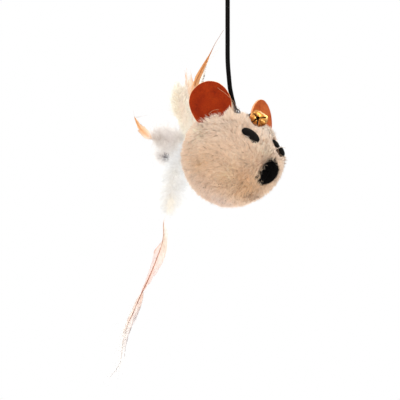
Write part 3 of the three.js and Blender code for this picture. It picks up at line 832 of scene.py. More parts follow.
    # what is still in sight of the left eye's edge lies flat and short on the fabric
    along = lines[hit, -1:] - lines[hit, :1]
    along = along - n[hit][:, None] * (along * n[hit][:, None]).sum(-1, keepdims=True) * 0.75
    lines[hit] = root[hit][:, None] + n[hit][:, None] * 0.22 + along * steps[None, :, None] * 0.75
    keep = ~crosses(lines, edge, stray, False)
    flat = np.where(hit, 0.93, 1.0)[:, None, None]
    for s in ("right", "left"):
        keep &= capsule_distance(root, EYE_AT[s] - unit(EYE_AT[s]) * 1.2, EYE_ALONG[s], 2.85) > 2.2
    keep &= np.arccos(np.clip(d @ NOSE_DIR, -1, 1)) > 0.195
    keep &= np.linalg.norm(lines[:, -1][:, [0, 2]], axis=1) > 3.4 * (lines[:, -1][:, 1] > 0)
    # colour: tan at the root (partly painted shade deep in the pile), beige at the tip, each clump a little its own;
    # painted light paler on the crown, painted shade tanner under the chin
    root_c, mid_c, tip_c = np.array([0.78, 0.52, 0.34]), np.array([0.84, 0.60, 0.42]), np.array([0.91, 0.72, 0.56])
    shade = (1 + 0.05 * c_tone[own] + rng.normal(0, 0.05, N))[:, None]
    # painted light: the roots lighter where the view looks down into the pile's shade, in the middle of the view and on
    # the side turned away
    painted_root_light = np.clip(0.55 * lobe(d, seen_at(0.0, -0.2), 0.7) + 0.8 * np.clip(0.15 - d @ VIEW, 0, 1), 0, 0.8)[:, None]
    ramp = np.stack([root_c + (tip_c - root_c) * painted_root_light, (mid_c + (tip_c - mid_c) * painted_root_light) * shade, (mid_c * 0.3 + tip_c * 0.7) * shade, tip_c * shade], 1)
    # painted light and shade: paler on the crown and between the eyes, tanner under the chin, darker on the brow where
    # the light falls strongest, a painted bounce light rosy underneath; also tanner on the left flank
    pale = np.clip(lobe(d, [-0.75, 0.1, 0.66], 0.55) + lobe(d, [0.1, -0.75, 0.62], 0.42), 0, 1)
    brow = lobe(d, [-0.25, -0.45, 0.85], 0.5)
    tan = np.clip(lobe(d, [-0.20, -0.85, -0.47], 0.55) + 0.5 * lobe(d, [-0.6, -0.6, -0.5], 0.4), 0, 1)
    painted_bounce_light = lobe(d, [-0.1, -0.25, -0.95], 0.45)
    flank = lobe(d, -VIEW_RIGHT + 0.15 * VIEW, 0.42)
    tint = 1 + pale[:, None] * np.array([0.03, 0.09, 0.17]) - tan[:, None] * np.array([0.0, 0.09, 0.22]) + painted_bounce_light[:, None] * np.array([0.02, 0.0, 0.06]) - flank[:, None] * np.array([0.02, 0.07, 0.10]) - brow[:, None] * np.array([0.13, 0.10, 0.06])
    warm = (c_tone[own] * 0.012)[:, None, None] * np.array([0.3, -0.2, -1.0])
    tones = np.clip(ramp * (tint * patches(d))[:, None] * (1 + warm) * flat, 0.02, 0.97)
    dark = (rng.random(N) < 0.003)[:, None, None]
    tones = np.where(dark, tones * np.array([0.62, 0.50, 0.42]), tones)
    wide = rng.uniform(0.13, 0.23, N)
    widths = wide[:, None] * np.array([1.0, 0.95, 0.6, 0.0])
    # ribbons face outwards, each rolled a little
    t0 = unit(lines[:, 2] - lines[:, 0])
    side = unit(np.cross(n, t0) + 1e-6)
    out = np.cross(t0, side)
    roll = rng.uniform(-1.0, 1.0, N)[:, None]
    side = side * np.cos(roll) + out * np.sin(roll)
    nn = unit(n + rng.normal(size=n.shape) * 0.16)

    # pointed locks: a few strands that cling together, a little longer and paler than the pile round them
    def lock_strands(axis, normal, m, spread_mm, tone, close=(1.0, 0.75, 0.36, 0.06)):
        """axis (n, 4, 3) is each lock's middle line, tone (n, 4, 3)."""
        count = len(axis)
        t = unit(axis[:, 2] - axis[:, 0])
        a = unit(np.cross(normal, t))
        b = np.cross(t, a)
        r = np.sqrt(rng.random((count, m, 1, 1))) * spread_mm
        th = rng.uniform(0, 2 * math.pi, (count, m, 1, 1))
        off = (np.cos(th) * a[:, None, None] + np.sin(th) * b[:, None, None]) * r
        each = axis[:, None] + off * np.array(close)[None, None, :, None] + rng.normal(0, 0.05, (count, m, 4, 3)) * np.array([0, 0.5, 1, 2])[:, None]
        each[:, :, 1:] = each[:, :, :1] + (each[:, :, 1:] - each[:, :, :1]) * rng.uniform(0.8, 1.08, (count, m, 1, 1))
        each = each.reshape(-1, 4, 3)
        nrm = np.repeat(normal, m, axis=0)
        tn = np.repeat(tone, m, axis=0) * rng.normal(1, 0.03, (count * m, 1, 1))
        sd = unit(np.cross(nrm, unit(each[:, 2] - each[:, 0])) + rng.normal(size=nrm.shape) * 0.5)
        wd = rng.uniform(0.12, 0.18, count * m)[:, None] * np.array([1.0, 0.9, 0.6, 0.0])
        return each, nrm, np.clip(tn, 0.02, 0.97), sd, wd

    extra = []
    count = 5600
    ld = spread(count, rng, 1.3)
    ln = skin_normal(ld)
    lf = comb(ld, ln)
    lean = rng.normal(0, 0.28, count)[:, None]
    lf = lf * np.cos(lean) + np.cross(ln, lf) * np.sin(lean)
    axis = lines_of(skin_point(ld) - ln * 0.2, ln, lf, length(ld) * rng.uniform(0.98, 1.22, count), rng.normal(-0.04, 0.13, count) + stand(ld))
    light = rng.random(count)
    own_tone = np.where(light[:, None] < 0.68, [[1.07, 1.10, 1.14]], np.where(light[:, None] < 0.86, [[0.96, 0.91, 0.86]], [[0.86, 0.76, 0.65]]))
    # painted shade under the chin and painted light on the crown, as on the pile, and the painted light and shade of
    # patches
    painted_shade_at = np.clip(lobe(ld, [-0.20, -0.85, -0.47], 0.55) + 0.5 * lobe(ld, [-0.6, -0.6, -0.5], 0.4), 0, 1)[:, None]
    painted_light_at = np.clip(lobe(ld, [-0.75, 0.1, 0.66], 0.55) + lobe(ld, [0.1, -0.75, 0.62], 0.42), 0, 1)[:, None]
    own_tone = own_tone * (1 - painted_shade_at * np.array([0.0, 0.08, 0.20]) + painted_light_at * np.array([0.0, 0.04, 0.10])) * patches(ld)
    base_tone = np.stack([root_c, mid_c, mid_c * 0.35 + tip_c * 0.65, tip_c])
    extra.append(lock_strands(axis, ln, 7, 0.48, base_tone[None] * own_tone[:, None]))
    # fine single hairs that stand a little past the pile
    count = 6500
    gd = spread(count, rng, 1.5)
    gn = skin_normal(gd)
    gf = comb(gd, gn)
    lean = rng.normal(0, 0.6, count)[:, None]
    gf = gf * np.cos(lean) + np.cross(gn, gf) * np.sin(lean)
    hairs = lines_of(skin_point(gd) - gn * 0.2, gn, gf, length(gd) * rng.uniform(1.1, 1.5, count), rng.normal(-0.10, 0.2, count) + stand(gd))
    fine_tone = np.stack([mid_c, tip_c, tip_c * np.array([1.03, 1.08, 1.14]), tip_c * np.array([1.05, 1.16, 1.28])])
    extra.append(lock_strands(hairs, gn, 1, 0.02, fine_tone[None] * patches(gd)[:, None]))

    # the long locks that stand up in front of the near ear's foot and beside the cord, and past the nose at the far side
    def on_skin(px, py):
        x, y, r = (px - 232) * 0.52, (157.5 - py) * 0.52, 24.0
        for _ in range(8):
            z = math.sqrt(max(r * r - x * x - y * y, 0.01))
            p = x * VIEW_RIGHT + y * WORLD_UP + z * VIEW
            r = float(skin_radius(unit(p)[None])[0])
        return p, z

    tall = [((231.3, 119.8), (230.9, 107.4)), ((230.4, 120.2), (229.6, 105.4)), ((229.2, 120.6), (228.4, 107.0)), ((228.2, 121), (227.2, 108.4)), ((226.8, 121.4), (225.8, 110.0)), ((225.4, 122), (224.2, 111.6)),
            ((223.8, 123.6), (222.9, 115.2)), ((222, 124.6), (221.2, 116.6)), ((220, 125.6), (219.2, 117.2)), ((217.6, 126.4), (216.8, 117.6)), ((215, 127), (214.2, 118.0)), ((212.4, 127.6), (211.4, 118.4)),
            ((210, 128.2), (208.8, 119.4)), ((207.6, 129), (206.4, 121.0)), ((206.2, 131), (205.2, 124.4)),
            ((229.8, 122.5), (229.0, 111.0)), ((226.4, 123.5), (225.0, 113.6)), ((222.8, 126), (221.8, 118.8)), ((218.8, 128), (217.8, 120.2)), ((213.6, 129.4), (212.6, 121.4)), ((209.4, 131.4), (208.4, 124.0)),
            ((231.9, 121.6), (231.8, 109.6)),
            ((279, 153), (285.2, 154.2)), ((279, 156), (286.8, 157.4)), ((279, 159), (287.8, 160.2)), ((279, 162), (286.8, 163.6)), ((278.4, 165), (285.2, 167.0)), ((276, 150), (282.6, 150.4))]
    axes, normals = [], []
    for i in range(3):
        for (rx, ry), (tx, ty) in tall:
            jig = rng.normal(0, 0.6 if i else 0.0, 4)
            a, za = on_skin(rx + jig[0], ry + jig[1] * 0.7)
            zt = max(za, 13.7) if rx < 240 else za + 0.3
            b = (tx + jig[2] - 232) * 0.52 * VIEW_RIGHT + (157.5 - ty - abs(jig[3]) * (i > 0)) * 0.52 * WORLD_UP + zt * VIEW
            nrm = skin_normal(unit(a)[None])[0]
            s = steps[:, None]
            axes.append(a - nrm * 0.2 + (b - a) * s + nrm * 0.8 * np.sin(s * math.pi) * (1 if rx < 240 else 0.4))
            normals.append(nrm)
    axes, normals = np.array(axes), np.array(normals)
    hair = np.stack([root_c, mid_c * np.array([1.0, 1.08, 1.16]), tip_c * np.array([1.0, 1.03, 1.08]), tip_c * np.array([1.02, 1.08, 1.16])])
    extra.append(lock_strands(axes, normals, 20, 0.85, np.repeat(hair[None], len(axes), 0) * rng.normal(0.97, 0.04, (len(axes), 1, 1)), (1.0, 0.85, 0.5, 0.14)))
    for i, (each, nrm, tn, sd, wd) in enumerate(extra):
        m = len(each)
        e2, s2 = rng.normal(0, 0.45, (3, m)), rng.random(m)
        ok = np.ones(m, bool)
        if i < 2:
            hit = crosses(each, e2, s2)
            out = unit(each[hit, :1])
            each[hit] = each[hit, :1] + (each[hit] - each[hit, :1]) * 0.42
            each[hit] = each[hit] - out * ((each[hit] - each[hit, :1]) * out).sum(-1, keepdims=True) * 0.5
            ok = ~crosses(each, e2, s2, False)
        for s_ in ("right", "left"):
            ok &= capsule_distance(each[:, 0], EYE_AT[s_] - unit(EYE_AT[s_]) * 1.2, EYE_ALONG[s_], 2.85) > 2.2
        lines, widths, side = np.concatenate([lines, each]), np.concatenate([widths, wd]), np.concatenate([side, sd])
        nn, tones, keep, d = np.concatenate([nn, unit(nrm + rng.normal(size=nrm.shape) * 0.12)]), np.concatenate([tones, tn]), np.concatenate([keep, ok]), np.concatenate([d, unit(each[:, 0])])
    groups = {
        "fur_right_front": (d[:, 0] < 0) & (d[:, 1] < 0), "fur_right_back": (d[:, 0] < 0) & (d[:, 1] >= 0),
        "fur_left_front": (d[:, 0] >= 0) & (d[:, 1] < 0), "fur_left_back": (d[:, 0] >= 0) & (d[:, 1] >= 0)}
    for name, where in groups.items():
        m = where & keep
        strand_mesh(name, lines[m], widths[m], side[m], nn[m], tones[m], "mouse", PILE)


make_fur()


# ---------------------------------------------------------------- nose
def make_nose():
    rng = np.random.default_rng(9)
    # an uneven round of black pile on a low mound
    rings, seg = 9, 44
    a = np.arange(seg) / seg * 2 * math.pi
    outline = 5.45 + 0.34 * np.cos(2 * (a - 1.35)) + 0.14 * np.sin(3 * a + 2.0) + 0.22 * np.sin(5 * a + 0.6) + 0.16 * np.sin(7 * a + 1.0) + 0.95 * np.exp(-((a - 3.50) / 0.42) ** 2) - 0.95 * np.exp(-((a - 2.78) / 0.32) ** 2)
    verts, quads = [], []
    tilt = unit(NOSE_DIR)
    u = unit(np.cross([0, 0, 1.0], tilt))
    v = np.cross(tilt, u)

    def place(x, y, lift):
        q = x[:, None] * u + y[:, None] * v
        dirs = unit(q + tilt * 26.0)
        return dirs * (skin_radius(dirs) + lift)[:, None]

    for i in range(rings):
        k = i / (rings - 1)
        rr = outline * k
        lift = 1.9 * (1 - k ** 2.2) + 0.5
        lift = np.where(k == 1, -0.5, lift) + 0.15 * rng.normal(size=seg) * (0 < k < 1)
        verts.append(place(rr * np.cos(a), rr * np.sin(a) * 1.06, lift * np.ones(seg)))
    verts = np.concatenate(verts)
    i, j = np.meshgrid(np.arange(rings - 1), np.arange(seg), indexing="ij")
    l = (j + 1) % seg
    quads = np.stack([i * seg + j, (i + 1) * seg + j, (i + 1) * seg + l, i * seg + l], -1).reshape(-1, 4)
    pad = mesh_object("nose_patch", H(verts), [quads])
    bm = bmesh.new()
    bm.from_mesh(pad.data)
    bmesh.ops.remove_doubles(bm, verts=bm.verts, dist=1e-6)
    bmesh.ops.recalc_face_normals(bm, faces=bm.faces)
    bm.to_mesh(pad.data)
    bm.free()
    for poly in pad.data.polygons:
        poly.use_smooth = True
    finish_piece(pad, "mouse", FELT, ("nose",))
    # short black strands, flaring out at the rim
    n = 6400
    k = np.sqrt(rng.random(n)) * 1.01
    th = rng.uniform(0, 2 * math.pi, n)
    rr = np.interp(th, a, outline, period=2 * math.pi) * k
    x, y = rr * np.cos(th), rr * np.sin(th) * 1.06
    root = place(x, y, 1.8 * (1 - np.minimum(k, 1) ** 2.2) + 0.1)
    normal = skin_normal(unit(root))
    outward = unit(np.cos(th)[:, None] * u + np.sin(th)[:, None] * v)
    flow = unit(outward * (0.3 + k[:, None]) + rng.normal(size=(n, 3)) * 0.55 + np.array([0, 0, -0.25]))
    flow = unit(flow - normal * (flow * normal).sum(1, keepdims=True))
    long = rng.uniform(1.3, 2.3, n) * (1 + 0.45 * (k > 0.85) * np.maximum(0, np.sin(9 * th + 1.0 + 2 * np.sin(3 * th))))
    theta = np.clip(0.35 + 0.65 * k + rng.normal(0, 0.2, n), 0.1, 1.4)[:, None]
    p1 = root + (np.cos(theta) * normal + np.sin(theta) * flow) * (long * 0.55)[:, None]
    th2 = np.clip(theta + 0.35, 0, 1.45)
    p2 = p1 + (np.cos(th2) * normal + np.sin(th2) * flow) * (long * 0.45)[:, None]
    lines = np.stack([root, p1, p2], 1)
    shade = rng.uniform(0.002, 0.009, (n, 1, 1)) * np.ones((n, 3, 3)) * np.array([1.0, 0.85, 0.75])
    side = unit(np.cross(normal, flow) + rng.normal(size=(n, 3)) * 0.5)
    wide = rng.uniform(0.16, 0.26, n)[:, None] * np.array([1.0, 0.8, 0.0])
    strand_mesh("nose_fuzz", lines, wide, side, normal, shade, "mouse", BLACK_PILE)


make_nose()


# ---------------------------------------------------------------- eyes
def make_eye(side):
    rng = np.random.default_rng(31 if side == "right" else 32)
    at, along = EYE_AT[side], EYE_ALONG[side]
    out = unit(at)
    across = unit(np.cross(out, along))
    inward = np.cross(across, along)
    waist = 0.05 if side == "right" else 0.45
    bm = bmesh.new()
    bmesh.ops.create_uvsphere(bm, u_segments=40, v_segments=40, radius=1.0)
    for v in bm.verts:
        x, y, z = v.co
        # z runs along the sausage
        s = z * (1 - 0.0)
        long = 5.35
        r = math.sqrt(max(1e-9, x * x + y * y))
        fat = (1 - abs(z) ** 3.2) ** 0.5 if abs(z) < 1 else 0
        fat *= 1 - waist * math.exp(-(z / 0.24) ** 2)
        if r > 1e-6:
            x, y = x / r * fat, y / r * fat
        wob = 1 + 0.05 * math.sin(5 * z + 1.3 * x) + 0.04 * math.sin(9 * y + 4 * z)
        heel = 1.2 * math.exp(-((z - 0.70) / 0.34) ** 2) * max(0.0, -x) if side == "right" else 0.0
        p = at + across * (x * 2.62 * wob - heel) - inward * (y * 1.25 * wob) + along * (s * long)
        # the ends follow the head's curve
        p = p - out * (0.022 * (s * long) ** 2) + out * (0.25 if side == "right" else 0.35)
        v.co = Vector(H(p))
    me = bpy.data.meshes.new(f"{side}_eye_felt")
    bmesh.ops.recalc_face_normals(bm, faces=bm.faces)
    bm.to_mesh(me)
    bm.free()
    for poly in me.polygons:
        poly.use_smooth = True
    o = bpy.data.objects.new(f"{side}_eye_felt", me)
    bpy.context.collection.objects.link(o)
    finish_piece(o, "mouse", FELT, (f"{side}_eye",))
    # loose fibres standing off the felt
    co = np.array([v.co[:] for v in me.vertices])
    no = np.array([v.normal[:] for v in me.vertices])
    pick = rng.integers(0, len(co), 1500)
    root = (co[pick] / MM - HEAD_AT) @ HEAD_AXES.T
    normal = no[pick] @ HEAD_AXES.T
    direction = unit(normal + rng.normal(size=normal.shape) * 0.7)
    long = rng.uniform(0.25, 0.75, len(pick))[:, None]
    bend = unit(direction + rng.normal(size=normal.shape) * 0.6)
    lines = np.stack([root - normal * 0.05, root + direction * long * 0.5, root + direction * long * 0.5 + bend * long * 0.5], 1)
    shade = rng.uniform(0.005, 0.02, (len(pick), 1, 1)) * np.ones((1, 3, 3))
    sideways = unit(np.cross(direction, normal) + rng.normal(size=normal.shape) * 0.2)
    wide = rng.uniform(0.06, 0.11, len(pick))[:, None] * np.array([1.0, 0.8, 0.0])
    strand_mesh(f"{side}_eye_fibres", lines, wide, sideways, normal, shade, "mouse", BLACK_PILE)
    # the clear thread over the middle, and its loose end
    arch = []
    for s, h in [(-3.4, -1.2), (-2.75, 0.1), (-1.9, 0.95), (-0.8, 1.22), (0.5, 1.22), (1.8, 0.98), (2.7, 0.15), (3.3, -1.2)]:
        w = 1 - waist * 0.75 if side == "left" else 0.72
        arch.append(at + across * s * (0.9 if abs(s) > 2 else 1.0) + out * (h * w + 0.12) + along * 0.15 * s)
    stitch = tube(f"{side}_eye_thread", H(np.array(arch)), (0.07 if side == "right" else 0.17) * MM, sides=8, steps=40)
    parts = [stitch]
    if side == "right":
        end = [at + across * -2.6 + out * 0.4 + along * -0.3, at + across * -3.6 + out * 1.6 - along * 0.9, at + across * -4.6 + out * 1.9 - along * 2.2]
        end = [at - across * k[0] + out * k[1] + along * k[2] for k in [(2.4, 0.5, -0.4), (3.3, 1.4, -1.2), (4.0, 1.8, -2.4)]]
        parts.append(tube("stitch_end_r", H(np.array(end)), 0.13 * MM, sides=6, steps=16))
    else:
        end = [at + across * k[0] + out * k[1] + along * k[2] for k in [(-0.8, 1.2, 0.0), (0.3, 2.1, 0.7), (1.1, 2.7, 1.6)]]
        parts.append(tube("stitch_end_l", H(np.array(end)), 0.13 * MM, sides=6, steps=16))
        end = [at + across * k[0] + out * k[1] + along * k[2] for k in [(-0.6, 1.2, 0.0), (-1.4, 2.2, -0.4), (-2.3, 2.5, -1.2)]]
        parts.append(tube("stitch_end_m", H(np.array(end)), 0.12 * MM, sides=6, steps=16))
    o = joined(f"{side}_eye_thread", parts)
    finish_piece(o, "mouse", NYLON, (f"{side}_eye_stitch",))


make_eye("right")
make_eye("left")


# ---------------------------------------------------------------- ears
EARS = {"right": (np.array([-24.05, 6.46, 21.87]), unit([-0.7295, -0.6834, -0.0296])), "left": (np.array([21.6, 10.1, 24.5]), unit([0.1775, -0.9113, 0.3716]))}


def ear_frame(side):
    at, face = EARS[side]
    down = -at + face * (at @ face)
    down = unit(down)
    return at, face, down, np.cross(face, down)


def ear_bow(x, y, side):
    """A slight dish, with the root end curled: mm along the ear's face."""
    r2 = (x * x + y * y) / 123.0
    k = 0.35 if side == "right" else -0.4
    return k * r2 + 0.25 * np.sin(x * 0.25 + 0.7) * np.sin(y * 0.22) + 0.5 * np.clip((y - 6) / 5, 0, 1) ** 2 * (1 if side == "right" else -1)


def make_ear(side):
    at, face, down, across = ear_frame(side)
    R, T = 11.1, 1.0
    rings, seg = 26, 120
    a = np.arange(seg) / seg * 2 * math.pi
    edge = R + 0.10 * np.sin(2 * a + 0.4) + 0.07 * np.sin(5 * a + 1.7) + 0.03 * np.sin(13 * a)
    if side == "right":
        # cut a little long towards its foot, a little short at the cord
        edge = edge + 1.25 * np.exp(-((a - 2.40) / 0.42) ** 2) - 0.7 * np.exp(-((np.mod(a + math.pi, 2 * math.pi) - math.pi + 0.1) / 0.5) ** 2)

    def layer(k, lift):
        x, y = edge * k * np.cos(a), edge * k * np.sin(a)
        return at + across * x[:, None] + down * y[:, None] + face * (ear_bow(x, y, side) + lift)[:, None]

    sections = [(i / rings, T / 2) for i in range(1, rings)] + [(1 - 0.012, T / 2), (1.0, T / 2 - 0.13), (1.004, 0.18), (1.004, -0.18), (1.0, -T / 2 + 0.13), (1 - 0.012, -T / 2)]
    sections += [(i / rings, -T / 2) for i in range(rings - 1, 0, -1)]
    verts = [layer(k, l) for k, l in sections]
    top = (at + face * (ear_bow(np.zeros(1), np.zeros(1), side)[0] + T / 2))[None]
    bottom = (at + face * (ear_bow(np.zeros(1), np.zeros(1), side)[0] - T / 2))[None]
    n = len(sections)
    i, j = np.meshgrid(np.arange(n - 1), np.arange(seg), indexing="ij")
    l = (j + 1) % seg
    quads = np.stack([i * seg + j, (i + 1) * seg + j, (i + 1) * seg + l, i * seg + l], -1).reshape(-1, 4)
    count = n * seg
    jj = np.arange(seg)
    ll = (jj + 1) % seg
    t1 = np.stack([np.full(seg, count), jj, ll], -1)
    t2 = np.stack([np.full(seg, count + 1), (n - 1) * seg + ll, (n - 1) * seg + jj], -1)
    o = mesh_object(f"{side}_ear_sheet", H(np.concatenate(verts + [top, bottom])), [quads, np.vstack([t1, t2])])
    # the far ear takes the lighter copy of the suede, with painted light
    o.data.materials.append(SUEDE if side == "right" else SUEDE_PAINTED_LIGHT)
    o.data.materials.append(CUT_EDGE)
    rim = np.zeros(len(o.data.polygons), np.int32)
    rows = np.repeat(np.arange(n - 1), seg)
    first = rings - 1
    rim[:len(rows)] = ((rows >= first) & (rows < first + 5)).astype(np.int32)
    o.data.polygons.foreach_set("material_index", rim)
    bm = bmesh.new()
    bm.from_mesh(o.data)
    bmesh.ops.recalc_face_normals(bm, faces=bm.faces)
    bm.to_mesh(o.data)
    bm.free()
    finish_piece(o, f"{side}_ear", None, (f"{side}_ear",))
    return o


make_ear("right")
make_ear("left")

# the stitch that holds the near ear, lying across its foot
def on_ear(side, x, y, lift):
    at, face, down, across = ear_frame(side)
    return at + across * x + down * y + face * (ear_bow(np.array([x]), np.array([y]), side)[0] + lift)


for side in ("right", "left"):
    sgn = 1 if side == "right" else 1
    pts = [on_ear(side, x, y, l) for x, y, l in [(-3.6, 5.5, 0.3), (-3.3, 5.0, 0.62), (-1.8, 4.4, 0.68), (0.4, 4.2, 0.68), (2.6, 4.7, 0.66), (3.2, 5.2, 0.3)]]
    pts = [on_ear(side, x, y, l) for x, y, l in [(-3.4, 5.7, 0.2), (-3.2, 5.3, 0.62), (-1.9, 4.8, 0.66), (0.2, 4.5, 0.66), (2.3, 4.9, 0.66), (2.9, 5.4, 0.2)]]
    st = tube(f"{side}_ear_stitch", H(np.array(pts)), 0.08 * MM, sides=8, steps=30)
    finish_piece(st, f"{side}_ear", EAR_NYLON)

ear_thread_route = [(-24.9, 4.9, 30.2), (-24.4, 4.2, 29.9), (-21.8, 1.4, 29.0), (-18.5, -1.7, 27.2), (-14.0, -0.6, 25.9), (-9.4, 1.2, 25.1), (-6.4, 2.2, 25.0), (-4.2, 4.6, 24.6), (-2.6, 5.9, 24.2)]
ear_thread = tube("ear_loose_thread", H(np.array(ear_thread_route)), 0.075 * MM, sides=8, steps=70)
finish_piece(ear_thread, None, EAR_NYLON, ("ear_thread",))
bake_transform(ear_thread)


# ---------------------------------------------------------------- bell
BELL_FACE = unit([-0.7295, -0.6834, -0.0296])
BELL_OUT = unit(BELL_AT)
BELL_SIDE = unit(np.cross(BELL_FACE, BELL_OUT))
BELL_UP = unit(np.cross(BELL_FACE, BELL_SIDE))
BELL_X = unit(VIEW_RIGHT - BELL_FACE * (VIEW_RIGHT @ BELL_FACE))
BELL_Y = unit(np.cross(BELL_FACE, BELL_X))


def bell_row(p):
    """Bell frame (side, up, face) mm to row metres."""
    p = np.asarray(p, float)
    return H(BELL_AT + p[..., 0:1] * BELL_SIDE + p[..., 1:2] * BELL_UP + p[..., 2:3] * BELL_FACE)


def bell_view_row(p):
    """The same, with the first two measured right and up across the view."""
    p = np.asarray(p, float)
    return H(BELL_AT + p[..., 0:1] * BELL_X + p[..., 1:2] * BELL_Y + p[..., 2:3] * BELL_FACE)


def bell_outline(a):
    """A hand-pressed round: mm from the middle, flattened along its upper right."""
    at = np.radians([-180, -164, -138, -95, -61, -28, -4, 16, 40, 60, 82, 108, 124, 157, 180])
    r = np.array([4.8, 4.95, 4.75, 4.55, 4.6, 4.85, 4.75, 4.45, 3.75, 3.55, 3.95, 4.55, 4.5, 4.45, 4.8])
    return np.interp(a, at, r)


SLITS = [(math.radians(4), 3.9), (math.radians(134), 4.0), (math.radians(214), 4.1), (math.radians(263), 3.9)]


def make_bell():
    # a shell pressed from two cups, with slits running out from its mouth
    bm = bmesh.new()
    bmesh.ops.create_uvsphere(bm, u_segments=128, v_segments=84, radius=1.0)
    for v in bm.verts:
        x, y, z = v.co
        r = float(bell_outline(math.atan2(y, x)))
        belt = 0.34 * math.exp(-((z - 0.02) / 0.05) ** 4)
        groove = -0.07 * math.exp(-((z + 0.13) / 0.035) ** 2) - 0.07 * math.exp(-((z - 0.16) / 0.035) ** 2)
        s = (r - 0.25) + belt + groove
        full = (abs(z) ** 0.9) * (1 if z > 0 else -1)
        v.co = (x * s, y * s, full * 4.35)
    outer = bpy.data.meshes.new("bell_outer")
    bmesh.ops.recalc_face_normals(bm, faces=bm.faces)
    bm.to_mesh(outer)
    bm.free()
    body = bpy.data.objects.new("bell_body", outer)
    bpy.context.collection.objects.link(body)
    inner = outer.copy()
    for m in (outer, inner):
        m.materials.append(BRASS)
        m.materials.append(BRASS_PAINTED_SHADE)
    # the inner faces take the near black brass: painted shade inside the hollow
    inner.polygons.foreach_set("material_index", np.ones(len(inner.polygons), np.int32))
    inner.transform(Matrix.Diagonal((0.90, 0.90, 0.90, 1)))
    hollow = bpy.data.objects.new("bell_hollow", inner)
    bpy.context.collection.objects.link(hollow)
    cutters = [hollow]

    def cutter(b, place, turn):
        b.transform(Matrix.Rotation(turn, 4, "Z"))
        b.transform(Matrix.Translation(place))
        m = bpy.data.meshes.new("cut")
        bmesh.ops.recalc_face_normals(b, faces=b.faces)
        b.to_mesh(m)
        b.free()
        o = bpy.data.objects.new("cut", m)
        bpy.context.collection.objects.link(o)
        cutters.append(o)

    mouth = (-0.35, 0.0)
    for a, long in SLITS:
        b = bmesh.new()
        bmesh.ops.create_cube(b, size=1.0)
        for v in b.verts:
            out = v.co.x + 0.5
            v.co = ((out * long), v.co.y * (0.95 - 0.42 * out), v.co.z * 5.0)
        cutter(b, (mouth[0], mouth[1], 3.6), a)
        b = bmesh.new()
        bmesh.ops.create_cone(b, cap_ends=True, segments=28, radius1=0.50, radius2=0.50, depth=5.0)
        cutter(b, (mouth[0] + long * math.cos(a), mouth[1] + long * math.sin(a), 3.2), 0)
    b = bmesh.new()
    wedge = [b.verts.new((x, y, z)) for z in (-2.0, 2.0) for x, y in ((2.15, 0.12), (-1.35, 1.25), (-1.15, -1.0))]
    b.faces.new(wedge[:3])
    b.faces.new(wedge[3:])
    for i in range(3):
        b.faces.new((wedge[i], wedge[(i + 1) % 3], wedge[3 + (i + 1) % 3], wedge[3 + i]))
    cutter(b, (mouth[0], mouth[1] + 0.05, 4.2), 0)
    for c in cutters:
        mod = body.modifiers.new("cut", "BOOLEAN")
        mod.operation = "DIFFERENCE"
        mod.solver = "EXACT"
        mod.object = c
    dg = bpy.context.evaluated_depsgraph_get()
    me = bpy.data.meshes.new_from_object(body.evaluated_get(dg))
    for c in cutters + [body]:
        bpy.data.objects.remove(c)
    # the petals are bent in a little along the slits, and stand at slightly different heights
    co = np.array([v.co[:] for v in me.vertices])
    near = np.full(len(co), 9.0)
    for a, long in SLITS:
        u = np.array([math.cos(a), math.sin(a)])
        q = co[:, :2] - np.array(mouth)
        s = np.clip(q @ u, 0, long)
        near = np.minimum(near, np.linalg.norm(q - s[:, None] * u, axis=1))
    front = np.clip((co[:, 2] - 0.8) / 2.6, 0, 1)
    co = co - unit(co) * (0.55 * np.exp(-(near / 0.8) ** 2) * front)[:, None]
    turn = np.arctan2(co[:, 1] - mouth[1], co[:, 0] - mouth[0])
    co[:, 2] += front * 0.35 * np.sin(2 * turn + 0.9)
    me.vertices.foreach_set("co", bell_view_row(co).astype(np.float32).ravel())
    me.update()
    o = bpy.data.objects.new("jingle_bell", me)
    bpy.context.collection.objects.link(o)
    bm = bmesh.new()
    bm.from_mesh(me)
    bmesh.ops.recalc_face_normals(bm, faces=bm.faces)
    bm.to_mesh(me)
    bm.free()
    for poly in me.polygons:
        poly.use_smooth = True
    bpy.ops.object.select_all(action="DESELECT")
    bpy.context.view_layer.objects.active = o
    o.select_set(True)
    bpy.ops.object.shade_auto_smooth(angle=math.radians(35))
    inside = np.zeros(len(me.polygons), np.int32)
    me.polygons.foreach_get("material_index", inside)
    finish_piece(o, "bell", (BRASS, BRASS_PAINTED_SHADE), ("bell_shell",))
    me.polygons.foreach_set("material_index", inside)
    # wire loop on its crown
    t = np.linspace(0, 2 * math.pi, 60, endpoint=False)
    loop_at = np.array([0, 0, -(4.75 + 0.3 + 1.4)])
    ring = loop_at + np.stack([0 * t, np.sin(t) * 1.15, np.cos(t) * 1.3], 1)
    w = tube("bell_wire_loop", bell_row(ring), 0.29 * MM, sides=12, closed=True)
    stem = tube("bell_stem", bell_row(np.array([[0, 0, -3.8], [0, 0, -5.3]])), 0.42 * MM, sides=12)
    w = joined("bell_wire_loop", [w, stem])
    finish_piece(w, "bell", BRASS, ("bell_loop",))
    rings = []
    for i, (sx, tilt) in enumerate([(1.25, 0.0), (1.15, 0.35), (1.2, -0.3)]):
        c = loop_at + np.array([0, -1.2, 0])
        ring = c + np.stack([np.cos(t) * sx * math.cos(tilt), np.sin(t) * 1.25, np.cos(t) * sx * math.sin(tilt)], 1)
        rings.append(tube(f"bell_tie_{i}", bell_row(ring), 0.18 * MM, sides=8, closed=True))
